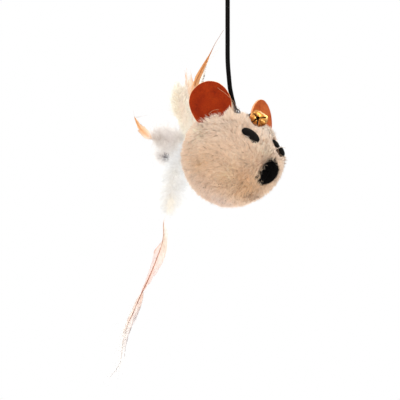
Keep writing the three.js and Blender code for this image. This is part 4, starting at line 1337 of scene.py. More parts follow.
    # its loose ends stand beside the bell
    tab = [[(-4.3, -0.6, -2.2), (-5.2, 0.4, -1.4), (-5.4, 1.3, -1.2), (-4.9, 2.0, -1.4), (-4.2, 1.6, -2.0)], [(-4.2, 0.2, -2.0), (-4.9, 0.9, -1.3), (-4.8, 1.9, -1.5), (-4.2, 2.4, -2.0)],
           [(-4.2, -1.0, -2.4), (-5.0, -0.3, -1.5), (-5.5, 0.9, -1.6)]]
    for i, p in enumerate(tab):
        rings.append(tube(f"bell_thread_end_{i}", bell_view_row(np.array(p, float)), 0.27 * MM, sides=8, steps=24))
    tie = joined("bell_sewing", rings)
    finish_piece(tie, "mouse", DARK_THREAD, ("bell_thread",))


make_bell()


NODES["bell_pellet"].data.materials.clear()
NODES["bell_pellet"].data.materials.append(STEEL)
NODES["stuffing"].data.materials.clear()
NODES["stuffing"].data.materials.append(STUFFING)
NODES["anchor_knot"].data.materials.clear()
NODES["anchor_knot"].data.materials.append(DARK_THREAD)


# ---------------------------------------------------------------- feathers
def feather_line(points, n=400):
    p = catmull(points, n)
    tang = unit(np.gradient(p, axis=0))
    wide = unit(np.cross(tang, VIEW))
    lift = np.cross(wide, tang)
    return p, tang, wide, lift


def at_t(line, t):
    p, tang, wide, lift = line
    x = np.clip(t, 0, 1) * (len(p) - 1)
    i = np.minimum(x.astype(int), len(p) - 2)
    f = (x - i)[:, None]
    pick = lambda a: a[i] * (1 - f) + a[i + 1] * f
    return pick(p), unit(pick(tang)), unit(pick(wide)), unit(pick(lift))


def stops(*pairs):
    """A function of t that runs through (t, value) pairs; values are numbers or colours."""
    ts = np.array([p[0] for p in pairs])
    vs = np.array([np.atleast_1d(p[1]) for p in pairs], float)

    def f(t):
        r = np.stack([np.interp(t, ts, vs[:, c]) for c in range(vs.shape[1])], 1)
        return r[:, 0] if vs.shape[1] == 1 else r
    return f


def colours(value, t):
    return value(t) if callable(value) else np.broadcast_to(np.asarray(value, float), (len(t), 3))


def vane(line, rng, n, t0, t1, length, angle, side, width=0.13, root=None, tip=None, splits=(), curl=-0.25, camber=10.0, steps=7, ragged=0.03, noise=1.0):
    """The closed web on one side of a quill: barbs lying edge to edge in one gently cambered plane. splits are (t, degrees) places where the web parts."""
    t = np.linspace(t0, t1, n)
    base, tang, wide, lift = at_t(line, t)
    slow = np.sin(t * 61 + side) * 0.5 + np.sin(t * 137 + 2 * side) * 0.5
    long = length(t) * (1 + 0.02 * slow + rng.normal(0, ragged, n))
    ang = angle(t) + rng.normal(0, noise, n)
    for where, degrees in splits:
        ang = ang + degrees * np.tanh((t - where) / 0.004) * np.exp(-((t - where) / 0.03) ** 2)
    ang = np.radians(ang)
    s = np.linspace(0, 1, steps)
    a = ang[:, None] * (1 + curl * s[None])
    out = np.radians(camber * (0.4 + 0.6 * s))[None] + 0.05 * np.sin(t * 90)[:, None]
    side_dir = wide[:, None] * (side * np.cos(out))[..., None] - lift[:, None] * np.sin(out)[..., None]
    dirs = np.cos(a)[..., None] * tang[:, None] + np.sin(a)[..., None] * side_dir
    step = (long / (steps - 1))[:, None, None]
    pts = base[:, None] + np.concatenate([np.zeros((n, 1, 3)), np.cumsum(dirs[:, :-1] * step, axis=1)], 1)
    c0, c1 = colours(root, t), colours(tip if tip is not None else root, t)
    shade = (1 + 0.03 * slow + rng.normal(0, 0.02, n))[:, None, None]
    tones = np.clip((c0[:, None] * (1 - s[None, :, None]) + c1[:, None] * s[None, :, None]) * shade, 0, 0.97)
    flat = unit(np.cross(side_dir[:, 0], tang))
    wd = unit(np.cross(dirs[:, 0], flat))
    gap = np.gradient((line[0].shape[0] - 1) * t) * np.linalg.norm(np.diff(line[0], axis=0), axis=1).mean() * np.sin(np.maximum(ang, 0.05))
    w = np.clip(np.abs(gap) * 3.4, 0.06, width)[:, None] * (1 - 0.6 * s ** 2)[None]
    wd = unit(wd + 0.14 * flat)
    return dict(lines=pts, widths=w, side=wd, normal=flat, tones=tones, barbules=0, barbule=0, rng=rng)


def down(line, rng, n, t0, t1, length, angle, side=0, width=0.10, curl=0.0, spread_deg=8.0, wave=0.0, root=None, tip=None, barbules=0, barbule=0.8, jitter=0.15,
         steps=6, fall=0.0, clump=0.0, ahead=0.0, scatter=0.0):
    """Loose barbs along a quill, standing out of its plane by spread_deg, each with fine barbules."""
    t = np.sort(rng.uniform(t0, t1, n))
    sgn = np.where(rng.random(n) < 0.5, -1.0, 1.0) if side == 0 else np.full(n, float(side))
    base, tang, wide, lift = at_t(line, t)
    base = base + VIEW * ahead
    if scatter:
        base = base + (wide * rng.normal(0, scatter, (n, 1)) + lift * rng.normal(0, scatter, (n, 1)) + tang * rng.normal(0, scatter, (n, 1))) * np.clip(t * 4, 0.05, 1)[:, None]
    long = length(t) * rng.normal(1, jitter, n).clip(0.35, 1.6)
    ang = np.radians(angle(t) + rng.normal(0, 4.0, n) * (1 + wave * 3))
    out = np.radians(rng.normal(0, spread_deg, n))
    side_dir = wide * (sgn * np.cos(out))[:, None] + lift * np.sin(out)[:, None]
    if clump:
        group = np.floor(t * clump) + sgn * 0.25 + np.floor(out * 1.5) * 7
        shift = np.sin(group * 12.9898) * 43758.5453
        shift = shift - np.floor(shift)
        ang = ang * (0.75 + 0.5 * shift)
        long = long * (0.78 + 0.44 * shift)
    s = np.linspace(0, 1, steps)
    a = ang[:, None] * (1 + curl * s[None])
    step = (long / (steps - 1))[:, None, None]
    dirs = np.cos(a)[..., None] * tang[:, None] + np.sin(a)[..., None] * side_dir[:, None]
    if fall:
        dirs = unit(dirs - WORLD_UP * (fall * s)[None, :, None])
    if wave:
        ph = rng.uniform(0, 2 * math.pi, (n, 2))
        fr = rng.uniform(0.7, 1.8, n)
        other = np.cross(side_dir, tang)
        w1 = wave * np.sin(2 * math.pi * fr[:, None] * s + ph[:, :1])
        w2 = wave * np.sin(2 * math.pi * fr[:, None] * s * 1.3 + ph[:, 1:])
        dirs = unit(dirs + w1[..., None] * other[:, None] + w2[..., None] * unit(np.cross(other, side_dir))[:, None])
    pts = base[:, None] + np.concatenate([np.zeros((n, 1, 3)), np.cumsum(dirs[:, :-1] * step, axis=1)], 1)
    c0, c1 = colours(root, t), colours(tip if tip is not None else root, t)
    shade = rng.normal(1, 0.03, (n, 1, 1))
    tones = np.clip((c0[:, None] * (1 - s[None, :, None]) + c1[:, None] * s[None, :, None]) * shade, 0, 0.97)
    flat = unit(np.cross(side_dir, tang))
    w = (width * rng.uniform(0.7, 1.2, n))[:, None] * (1 - 0.75 * s ** 1.5)[None]
    return dict(lines=pts, widths=w, side=unit(rng.normal(size=(n, 3))), normal=flat, tones=tones, barbules=barbules, barbule=barbule, rng=rng)


def web(line, rng, n, t0, t1, reach, angle, side, root, tip=None, splits=(), steps=7, ragged=0.03, behind=0.0, bulge=0.16, camber=0.10, wave=0.0):
    """The closed web on one side of a quill, as one thin sheet of barbs that lie edge to edge: reach(t) is how far its outline lies from the quill (mm)."""
    long = np.linalg.norm(np.diff(line[0], axis=0), axis=1).sum()
    t = np.linspace(t0, t1, n)
    lean = np.radians(angle(t))
    ends = np.linspace(t0, 1, 1500)
    roots = np.maximum.accumulate(ends - reach(ends) / np.tan(np.radians(angle(ends))) / long)
    far = np.interp(t, roots, ends)
    w = np.maximum(reach(far), 0.05)
    uneven = 1 + ragged * (0.5 * np.sin(t * 83 + side) + 0.4 * np.sin(t * 211 + 2 * side)) + rng.normal(0, ragged * 0.55, n)
    for where in splits:
        uneven = uneven * (1 - 0.4 * np.exp(-np.abs(t - where) / 0.006))
    base, tang, wide, lift = at_t(line, t)
    end, _, wide2, lift2 = at_t(line, far)
    end = end + wide2 * (side * w)[:, None] - lift2 * (camber * w)[:, None]
    if wave:
        end = end + lift2 * (wave * w * np.sin(t * 29 + side))[:, None]
    end = base + (end - base) * np.clip(uneven, 0.3, 1.4)[:, None]
    reachv = np.linalg.norm(end - base, axis=1)
    mid = (base + end) / 2 + wide * (side * bulge * reachv / np.clip(uneven, 0.3, 1.4))[:, None]
    s = np.linspace(0, 1, steps)[None, :, None]
    pts = base[:, None] * (1 - s) ** 2 + mid[:, None] * 2 * s * (1 - s) + end[:, None] * s ** 2
    ridge = np.where(np.arange(n) % 2, 0.5, -0.5)
    spacing = long * abs(t1 - t0) / n * np.sin(lean)
    pts = pts + lift[:, None] * (ridge * 0.22 * spacing)[:, None, None] * np.sin(s * math.pi) - VIEW * behind
    c0, c1 = colours(root, t), colours(tip if tip is not None else root, t)
    shade = (1 + 0.025 * ridge * 2 + rng.normal(0, 0.018, n) + 0.02 * np.sin(t * 61 + side))[:, None, None]
    tones = np.clip((c0[:, None] * (1 - s) + c1[:, None] * s) * shade, 0, 0.97)
    cut = np.zeros(n - 1, bool)
    for where in splits:
        cut[np.argmin(np.abs(t[:-1] - where))] = True
    return dict(grid=pts, tones=tones, cut=cut)


def spike(rng, n, base, tip, width, root, end, bow=0.0, steps=6, breadth=0.16):
    """A pointed lock of barbs that cling together: wide at its base, meeting at its tip (head-frame mm)."""
    base, tip = np.asarray(base, float), np.asarray(tip, float)
    along = unit(tip - base)
    wide = unit(np.cross(along, VIEW))
    u = np.linspace(-0.5, 0.5, n) + rng.normal(0, 0.02, n)
    s = np.linspace(0, 1, steps)
    length = np.linalg.norm(tip - base) * (1 - 0.55 * np.abs(u) ** 1.2 * rng.uniform(0.6, 1.2, n))
    shape = (1 - s) ** 0.75 * (1 + 0.35 * s)
    pts = base + along * (s[None, :, None] * length[:, None, None]) + wide * (u[:, None] * width * shape[None])[..., None] + wide * (bow * np.sin(s * math.pi))[None, :, None]
    pts = pts + VIEW * (rng.normal(0, 0.12, (n, 1, 1)) + 0.5 * (0.25 - u ** 2)[:, None, None])
    tones = (np.asarray(root)[None, None] * (1 - s[None, :, None]) + np.asarray(end)[None, None] * s[None, :, None]) * rng.normal(1, 0.05, (n, 1, 1))
    w = np.full((n, 1), breadth) * (1 - 0.8 * s ** 2)[None]
    return dict(lines=pts, widths=w, side=np.tile(wide, (n, 1)), normal=np.tile(VIEW, (n, 1)), tones=np.clip(tones, 0, 0.97), barbules=0, barbule=0, rng=rng)


def wisps(rng, lines, width, tone, steps=14):
    """Single loose barbs along given lines (head-frame mm)."""
    pts = np.stack([catmull(l, steps) for l in lines])
    n = len(pts)
    w = np.full((n, steps), width) * np.linspace(1, 0.35, steps)
    t = np.broadcast_to(np.asarray(tone, float), (n, steps, 3)) * rng.normal(1, 0.04, (n, 1, 1))
    wide = unit(np.cross(unit(pts[:, -1] - pts[:, 0]), VIEW))
    return dict(lines=pts, widths=w, side=wide, normal=np.tile(VIEW, (n, 1)), tones=np.clip(t, 0, 0.97), barbules=0, barbule=0, rng=rng)


def feather_piece(name, groups, line, quill, quill_tone, body, material, replaces=()):
    """One piece of several groups of barbs and their quill."""
    verts, quads, tris, tones, count = [], [], [], [], 0
    for g in groups:
        if "grid" in g:
            P, T = g["grid"], g["tones"]
            n, k = P.shape[:2]
            i, j = np.meshgrid(np.arange(n - 1), np.arange(k - 1), indexing="ij")
            open_here = ~(g["cut"][i] & (j >= (k - 1) // 3))
            i, j = i[open_here], j[open_here]
            verts.append(P.reshape(-1, 3))
            tones.append(T.reshape(-1, 3))
            quads.append(count + np.stack([i * k + j, i * k + j + 1, (i + 1) * k + j + 1, (i + 1) * k + j], -1))
            count += n * k
            continue
        L, W, S, T = g["lines"], g["widths"], g["side"], g["tones"]
        n, k = L.shape[:2]
        tang = unit(np.gradient(L, axis=1))
        w = unit(S[:, None] - tang * (S[:, None] * tang).sum(-1, keepdims=True))
        left, right = L - w * W[..., None] / 2, L + w * W[..., None] / 2
        v = np.stack([left, right], 2).reshape(n, 2 * k, 3)
        base = count + (np.arange(n) * 2 * k)[:, None]
        for s in range(k - 1):
            quads.append(base + np.array([[2 * s, 2 * s + 1, 2 * s + 3, 2 * s + 2]]))
        verts.append(v.reshape(-1, 3))
        tones.append(np.repeat(T, 2, axis=1).reshape(-1, 3))
        count += n * 2 * k
        if g["barbules"]:
            r, m = g["rng"], g["barbules"]
            u = np.sort(r.uniform(0.06, 1.0, (n, m)), axis=1)
            x = u * (k - 1)
            i = np.minimum(x.astype(int), k - 2)
            f = (x - i)[..., None]
            row = np.arange(n)[:, None]
            at = L[row, i] * (1 - f) + L[row, i + 1] * f
            tg = tang[row, i]
            perp = unit(np.cross(tg, r.normal(size=(n, m, 3))))
            d = unit(perp + tg * r.uniform(0.3, 1.2, (n, m, 1)))
            long = g["barbule"] * r.uniform(0.5, 1.2, (n, m, 1)) * (1 - 0.5 * u[..., None])
            b = 0.032
            tri = np.stack([at - tg * b, at + tg * b, at + d * long], 2).reshape(-1, 3)
            verts.append(tri)
            tris.append(count + np.arange(n * m * 3).reshape(-1, 3))
            tc = T[row, i] * (1 - f) + T[row, i + 1] * f
            tones.append(np.repeat(tc.reshape(-1, 3), 3, axis=0))
            count += n * m * 3
    # quill: a six-sided tapering rod
    q = line[0][::6]
    if len(line[0]) % 6 != 1:
        q = np.vstack([q, line[0][-1:]])
    tt, ss, uu = frames_along(q)
    m = len(q)
    rr = np.interp(np.linspace(0, 1, m), np.linspace(0, 1, len(quill)), quill)
    a = np.arange(6) / 6 * 2 * math.pi
    ring = q[:, None] + rr[:, None, None] * (np.cos(a)[None, :, None] * ss[:, None] + np.sin(a)[None, :, None] * uu[:, None])
    verts.append(ring.reshape(-1, 3))
    i, j = np.meshgrid(np.arange(m - 1), np.arange(6), indexing="ij")
    l = (j + 1) % 6
    quads.append(count + np.stack([i * 6 + j, i * 6 + l, (i + 1) * 6 + l, (i + 1) * 6 + j], -1).reshape(-1, 4))
    qt = np.stack([np.interp(np.linspace(0, 1, m), np.linspace(0, 1, len(quill_tone)), np.array(quill_tone)[:, c]) for c in range(3)], 1)
    tones.append(np.repeat(qt, 6, axis=0))
    faces = [np.concatenate(quads)] + ([np.concatenate(tris)] if tris else [])
    o = mesh_object(name, H(np.concatenate(verts)), faces, tone=np.concatenate(tones))
    return finish_piece(o, body, material, replaces)


def at_px(line, x=None, y=None):
    """The t at which a line crosses a height or a place across in the 400 px picture."""
    p = line[0]
    v = 232 + p @ VIEW_RIGHT / 0.52 if x is not None else 157.5 - p @ WORLD_UP / 0.52
    return float(np.argmin(np.abs(v - (x if x is not None else y))) / (len(p) - 1))


DEEP = (0.56, 0.215, 0.066)
ORANGE = (0.70, 0.315, 0.115)
TAN = (0.80, 0.46, 0.22)
PEACH = (0.92, 0.70, 0.51)
CREAM = (0.96, 0.94, 0.88)
BUTTER = (0.96, 0.94, 0.88)
PINK = (0.94, 0.84, 0.78)
WHITE = (0.885, 0.90, 0.915)
GREY = (0.84, 0.82, 0.82)
PALE = (0.93, 0.86, 0.80)

UP = [[0.3, 28.0, 2.0], [0.4, 30.6, 4.6], [-1.1, 35.7, 12.0], [-3.7, 38.8, 22.7], [-5.4, 39.4, 31.0], [-5.9, 38.0, 39.6], [-6.3, 36.6, 47.2], [-6.5, 35.9, 52.4], [-6.1, 34.3, 60.8]]
CREAM_LINE = [[-1.7, 28.0, 0.9], [-2.4, 33.4, 2.6], [-4.0, 40.6, 9.2], [-6.9, 43.9, 16.2], [-9.2, 45.2, 25.1]]
PINK_LINE = [[2.1, 28.0, 1.2], [2.8, 33.9, 5.9], [0.8, 41.2, 15.9], [-2.3, 45.9, 26.2], [-5.7, 49.1, 35.5]]
SIDE_LINE = [[0.4, 28.0, -0.3], [0.2, 34.3, -0.5], [-1.7, 41.5, -1.9], [-5.0, 47.3, -4.0], [-8.4, 51.8, -5.4], [-12.9, 56.5, -3.0], [-17.1, 60.1, 1.5]]
GREY_LINE = [[2.2, 28.0, -1.0], [3.2, 33.0, -4.4], [3.0, 40.4, -9.4], [0.4, 45.6, -12.3], [-1.2, 48.0, -13.0]]
WHITE_LINE = [[-0.9, 28.2, -1.9], [-0.8, 29.8, -3.4], [-0.6, 31.6, -7.8], [0.2, 34.4, -17.0], [2.6, 33.2, -28.0], [4.6, 32.4, -37.5]]
TAIL_LINE = [[1.2, 28.0, -2.4], [3.2, 32.6, -8.2], [6.6, 37.0, -21.6], [8.6, 37.6, -34.5], [9.9, 37.0, -43.8], [11.5, 35.2, -50.0], [12.1, 34.3, -55.2], [11.9, 33.7, -61.9],
             [11.7, 33.4, -71.3], [11.2, 33.4, -79.8], [10.7, 33.4, -85.9], [10.4, 33.3, -94.6], [10.0, 33.3, -100.9], [10.3, 32.5, -107.9], [11.3, 31.0, -115.1], [12.3, 30.1, -121.0],
             [11.1, 31.9, -130.0]]


def make_feathers():
    rng = np.random.default_rng(77)
    q = 1.0
    k = lambda v: max(3, int(v * q))
    # up feather: a narrow orange lance with a paler right edge, downy at its foot
    line = feather_line(UP)
    Y = lambda y: at_px(line, y=y)
    g = [
        web(line, rng, k(420), Y(98), 0.985, stops((Y(98), 2.2), (Y(88), 1.7), (Y(80), 1.3), (Y(73), 1.15), (Y(67), 0.95), (Y(60), 0.62), (Y(55), 0.30), (Y(45), 0.13), (1, 0.05)), stops((Y(98), 24), (Y(60), 15), (1, 9)), -1,
            stops((Y(98), TAN), (Y(82), ORANGE), (Y(60), DEEP)), stops((Y(98), PEACH), (Y(85), TAN), (Y(70), ORANGE)), splits=(Y(86),)),
        web(line, rng, k(420), Y(98), 0.98, stops((Y(98), 2.6), (Y(88), 2.2), (Y(80), 1.7), (Y(73), 1.5), (Y(67), 1.1), (Y(60), 0.85), (Y(55), 0.36), (Y(45), 0.13), (1, 0.05)), stops((Y(98), 26), (Y(60), 15), (1, 9)), 1,
            stops((Y(98), TAN), (Y(82), ORANGE), (Y(60), DEEP)), stops((Y(98), PEACH), (Y(80), (0.78, 0.42, 0.20)), (Y(66), (0.80, 0.44, 0.22)), (Y(58), ORANGE)), splits=(Y(84),)),
        web(line, rng, k(260), Y(100), Y(64), stops((Y(100), 4.6), (Y(84), 4.2), (Y(76), 3.4), (Y(69), 2.2), (Y(62), 0.9)), stops((Y(100), 30), (Y(62), 18)), 1, CREAM, (0.95, 0.91, 0.84), splits=(Y(90), Y(77)), ragged=0.07, behind=0.35),
        spike(rng, k(30), [-4.4, 39.0, 24.5], [-5.9, 40.9, 34.6], 1.5, PEACH, ORANGE, 0.1),
        down(line, rng, k(700), 0.03, 0.34, stops((0.0, 5.0), (0.3, 6.0)), stops((0, 60), (0.3, 40)), 0, 0.08, 0.3, 50, 0.35, CREAM, CREAM, 20, 0.9, scatter=0.5)]
    # faint curls beside its tip
    g.append(wisps(rng, [[[-5.9, 36.2, 44.0], [-5.2, 34.6, 46.6], [-4.8, 33.2, 48.4]], [[-6.0, 35.6, 47.0], [-5.0, 34.0, 49.6], [-5.0, 33.0, 51.6]], [[-6.3, 35.6, 51.4], [-5.5, 34.0, 55.0], [-5.4, 33.0, 57.6]]], 0.09, PEACH))
    feather_piece("up_feather_vane", g, line, [0.40, 0.30, 0.17, 0.12, 0.09], [PALE, TAN, DEEP, DEEP, (0.55, 0.36, 0.28)], "up_feathers", FEATHER, ("up_feather",))
    # cream down: broad soft layers
    line = feather_line(CREAM_LINE)
    g = [web(line, rng, k(200), 0.34, 0.99, stops((0.2, 0.6), (0.45, 0.9), (0.56, 2.4), (0.70, 3.4), (0.85, 3.2), (1.0, 2.0)), stops((0.2, 50), (1, 30)), -1, (0.96, 0.93, 0.86), (0.96, 0.94, 0.89), splits=(0.57, 0.70, 0.86), ragged=0.10, wave=0.10, behind=0.3),
         web(line, rng, k(200), 0.30, 0.99, stops((0.2, 3.5), (0.5, 5.0), (0.8, 4.6), (1.0, 3.0)), stops((0.2, 50), (1, 30)), 1, (0.96, 0.90, 0.79), (0.96, 0.91, 0.81), splits=(0.4, 0.62, 0.8), ragged=0.10, wave=0.10, behind=0.3),
         down(line, rng, k(1300), 0.06, 1.0, stops((0, 3.5), (0.2, 1.6), (0.46, 1.2), (0.56, 2.9), (0.70, 4.1), (0.85, 4.1), (1.0, 3.0)), stops((0, 62), (0.4, 44), (0.6, 56), (0.75, 52), (1, 22)), -1, 0.13, 0.25, 22, 0.20,
              stops((0, CREAM), (0.4, (0.96, 0.92, 0.84)), (0.6, (0.96, 0.92, 0.83)), (0.8, BUTTER), (1, BUTTER)), stops((0, CREAM), (0.6, (0.96, 0.93, 0.86)), (1, (0.96, 0.94, 0.89))), 24, 0.8, clump=11, scatter=0.35),
         down(line, rng, k(150), 0.50, 0.95, stops((0.5, 3.0), (0.7, 4.8), (1.0, 4.0)), stops((0.5, 58), (0.75, 52), (1, 26)), -1, 0.12, 0.2, 16, 0.15, (0.93, 0.82, 0.67), (0.95, 0.89, 0.79), 12, 0.6, clump=14, ahead=1.2, scatter=0.4),
         down(line, rng, k(900), 0.06, 0.92, stops((0, 4.5), (0.3, 6.0), (0.75, 6.0), (1.0, 4.0)), stops((0, 60), (0.6, 40), (1, 22)), 1, 0.13, 0.2, 26, 0.22,
              stops((0, CREAM), (0.4, (0.96, 0.91, 0.82)), (1, (0.96, 0.90, 0.81))), stops((0, CREAM), (0.5, PINK), (1, CREAM)), 24, 0.9, clump=9, scatter=0.5),
         down(line, rng, k(200), 0.52, 0.95, stops((0.5, 3.5), (0.7, 5.0), (1.0, 4.4)), stops((0.5, 60), (1, 34)), -1, 0.10, 0.2, 12, 0.15, CREAM, (0.94, 0.88, 0.76), 14, 0.7, clump=6, ahead=1.5, scatter=0.6)]
    feather_piece("cream_down", g, line, [0.30, 0.20, 0.08, 0.04], [PALE, CREAM, CREAM, CREAM], "up_feathers", DOWN, ("cream_plume",))
    # pink barbs, clinging together in pointed locks
    line = feather_line(PINK_LINE)
    Y = lambda y: at_px(line, y=y)
    g = [web(line, rng, k(160), Y(118), Y(82), stops((Y(118), 2.6), (Y(100), 3.0), (Y(88), 2.2), (Y(80), 0.8)), stops((0, 34), (1, 20)), -1, (0.95, 0.84, 0.70), (0.95, 0.87, 0.76), splits=(Y(100),), ragged=0.10, wave=0.15),
         web(line, rng, k(160), Y(118), Y(82), stops((Y(118), 4.6), (Y(100), 5.2), (Y(88), 4.4), (Y(80), 1.4)), stops((0, 34), (1, 22)), 1, (0.95, 0.84, 0.70), (0.95, 0.84, 0.71), splits=(Y(97), Y(88)), ragged=0.08, wave=0.15, behind=0.3),
         spike(rng, k(44), [-3.0, 41.5, 17.8], [-6.5, 48.0, 35.2], 3.2, CREAM, (0.94, 0.78, 0.66), -0.4), spike(rng, k(16), [-2.6, 42.2, 22.2], [-7.0, 48.5, 34.2], 0.9, PEACH, TAN, -0.4),
         spike(rng, k(40), [-1.6, 40.4, 19.5], [-5.2, 46.7, 36.0], 3.2, PEACH, PINK, 0.3), spike(rng, k(16), [-1.2, 40.3, 24.0], [-4.6, 46.0, 34.2], 0.8, TAN, PEACH),
         spike(rng, k(34), [-0.2, 38.6, 21.0], [-3.4, 43.3, 34.0], 3.2, PEACH, PEACH, 0.2), spike(rng, k(24), [-4.4, 42.8, 16.0], [-8.0, 48.6, 27.5], 3.0, CREAM, CREAM, -0.3),
         down(line, rng, k(200), 0.35, 0.80, stops((0.2, 5.0), (0.6, 5.5), (1, 3.0)), stops((0, 30), (0.6, 15), (1, 7)), 0, 0.10, -0.2, 10, 0.04, CREAM, PEACH, 4, 0.4, clump=9),
         down(line, rng, k(600), 0.06, 0.55, stops((0, 5), (0.55, 6.0)), stops((0, 55), (0.55, 38)), 0, 0.10, 0.3, 30, 0.3, CREAM, (0.94, 0.84, 0.72), 20, 0.9, scatter=0.5)]
    feather_piece("pink_barbs", g, line, [0.28, 0.16, 0.07, 0.04], [PALE, CREAM, CREAM, PEACH], "up_feathers", FEATHER, ("pink_plume",))
    # side feather with an orange tip, its lower two thirds in grey-white down
    line = feather_line(SIDE_LINE)
    X = lambda x: at_px(line, x=x)
    greys = stops((0, WHITE), (X(182), (0.93, 0.90, 0.86)), (X(172), (0.92, 0.88, 0.86)), (X(164), (0.88, 0.83, 0.79)), (X(158), (0.76, 0.70, 0.65)), (X(152), (0.84, 0.74, 0.66)))
    g = [
        web(line, rng, k(170), X(152), 0.985, stops((X(152), 2.2), (X(147), 2.6), (X(142), 2.3), (X(138), 1.3), (1, 0.1)), stops((X(152), 34), (X(140), 22), (1, 12)), 1,
            stops((X(152), (0.84, 0.63, 0.48)), (X(145), (0.80, 0.45, 0.24)), (X(139), (0.72, 0.37, 0.17)), (0.98, ORANGE)), stops((X(152), (0.86, 0.70, 0.60)), (X(146), (0.86, 0.61, 0.43)), (X(139), (0.83, 0.55, 0.35)), (1, TAN)), splits=(X(141),), ragged=0.08),
        web(line, rng, k(170), X(154), 0.98, stops((X(154), 1.6), (X(146), 1.9), (X(141), 1.9), (X(139), 0.9), (1, 0.1)), stops((X(154), 30), (X(140), 20), (1, 12)), -1,
            stops((X(152), (0.82, 0.63, 0.49)), (X(144), (0.76, 0.42, 0.21)), (X(138), ORANGE)), stops((X(152), (0.83, 0.66, 0.54)), (X(144), (0.78, 0.48, 0.29)), (X(138), (0.72, 0.40, 0.19))), splits=(X(143.5),), ragged=0.08),
        web(line, rng, k(200), 0.10, X(155), stops((0.1, 3.0), (0.3, 5.5), (X(165), 6.5), (X(157), 5.0), (X(150), 1.6)), stops((0, 74), (X(160), 62), (X(150), 50)), 1, greys, (0.93, 0.90, 0.87), splits=(0.25, X(168), X(161)), ragged=0.10, wave=0.12, behind=0.8),
        web(line, rng, k(200), 0.10, X(155), stops((0.1, 3.0), (0.3, 6.0), (X(165), 7.0), (X(159), 4.0), (X(151), 1.0)), stops((0, 78), (X(160), 72), (X(150), 60)), -1, greys, (0.92, 0.90, 0.88), splits=(0.3, X(166)), ragged=0.10, wave=0.12, behind=0.8),
        down(line, rng, k(1500), 0.05, X(153), stops((0, 5.5), (0.35, 7.6), (X(160), 7.4), (X(152), 4.0)), stops((0, 80), (X(160), 72)), 1, 0.12, 0.2, 34, 0.26, greys, (0.90, 0.88, 0.87), 26, 0.95, clump=16, scatter=0.9),
        down(line, rng, k(1500), 0.05, X(156), stops((0, 5.5), (0.35, 8.0), (X(165), 7.6), (X(157), 4.2)), stops((0, 84), (X(160), 80)), -1, 0.12, 0.15, 34, 0.26, greys, (0.92, 0.90, 0.88), 26, 0.95, clump=16, scatter=0.9),
        wisps(rng, [[[-16.4, 59.5, 0.9], [-14.2, 59.2, 2.6], [-12.2, 58.2, 4.0], [-11.2, 57.4, 4.8]], [[-16.7, 59.9, 1.2], [-15.4, 59.9, 1.9], [-13.6, 59.0, 2.6]], [[-16.9, 60.0, 1.4], [-17.6, 60.9, 3.2], [-18.0, 61.4, 4.6]]], 0.13, (0.55, 0.46, 0.40))]
    feather_piece("side_feather_vane", g, line, [0.3, 0.22, 0.12, 0.10, 0.10, 0.07], [PALE, WHITE, WHITE, PEACH, ORANGE, (0.45, 0.2, 0.1)], "side_feathers", FEATHER, ("side_feather",))
    # grey-white down
    line = feather_line(GREY_LINE)
    X = lambda x: at_px(line, x=x)
    smoky = stops((0, WHITE), (0.4, (0.93, 0.90, 0.86)), (X(172), (0.92, 0.88, 0.83)), (X(165), (0.84, 0.80, 0.77)), (1, (0.88, 0.86, 0.85)))
    g = [web(line, rng, k(170), 0.15, 0.97, stops((0.1, 3.0), (0.4, 5.0), (0.75, 4.4), (1, 1.6)), stops((0, 70), (1, 40)), 1, smoky, (0.90, 0.87, 0.84), splits=(0.35, 0.6), ragged=0.10, wave=0.12, behind=0.6),
         web(line, rng, k(170), 0.15, 0.97, stops((0.1, 3.0), (0.4, 4.6), (0.75, 3.4), (1, 1.4)), stops((0, 74), (1, 48)), -1, smoky, (0.92, 0.90, 0.87), splits=(0.3, 0.7), ragged=0.10, wave=0.12, behind=0.6),
         down(line, rng, k(1500), 0.04, 1.0, stops((0, 5.0), (0.3, 7.0), (0.8, 5.4), (1.0, 3.6)), stops((0, 80), (0.6, 66), (1, 30)), 0, 0.12, 0.25, 36, 0.28, smoky, (0.91, 0.89, 0.87), 26, 1.0, clump=18, scatter=0.8),
         down(line, rng, k(150), X(167.5), X(164.5), stops((0, 2.1), (1, 2.1)), stops((0, 80), (1, 80)), 0, 0.16, 0.3, 60, 0.35, (0.12, 0.105, 0.115), (0.50, 0.47, 0.48), 12, 0.6, ahead=5.6, scatter=0.8),
         down(line, rng, k(60), X(172), X(160), stops((0, 4.0), (1, 3.5)), stops((0, 60), (1, 50)), 0, 0.10, 0.3, 40, 0.30, (0.60, 0.57, 0.58), (0.80, 0.78, 0.78), 14, 0.8, ahead=3.0, scatter=0.6)]
    feather_piece("grey_down", g, line, [0.30, 0.20, 0.10, 0.05], [PALE, WHITE, WHITE, WHITE], "side_feathers", DOWN, ("grey_plume",))
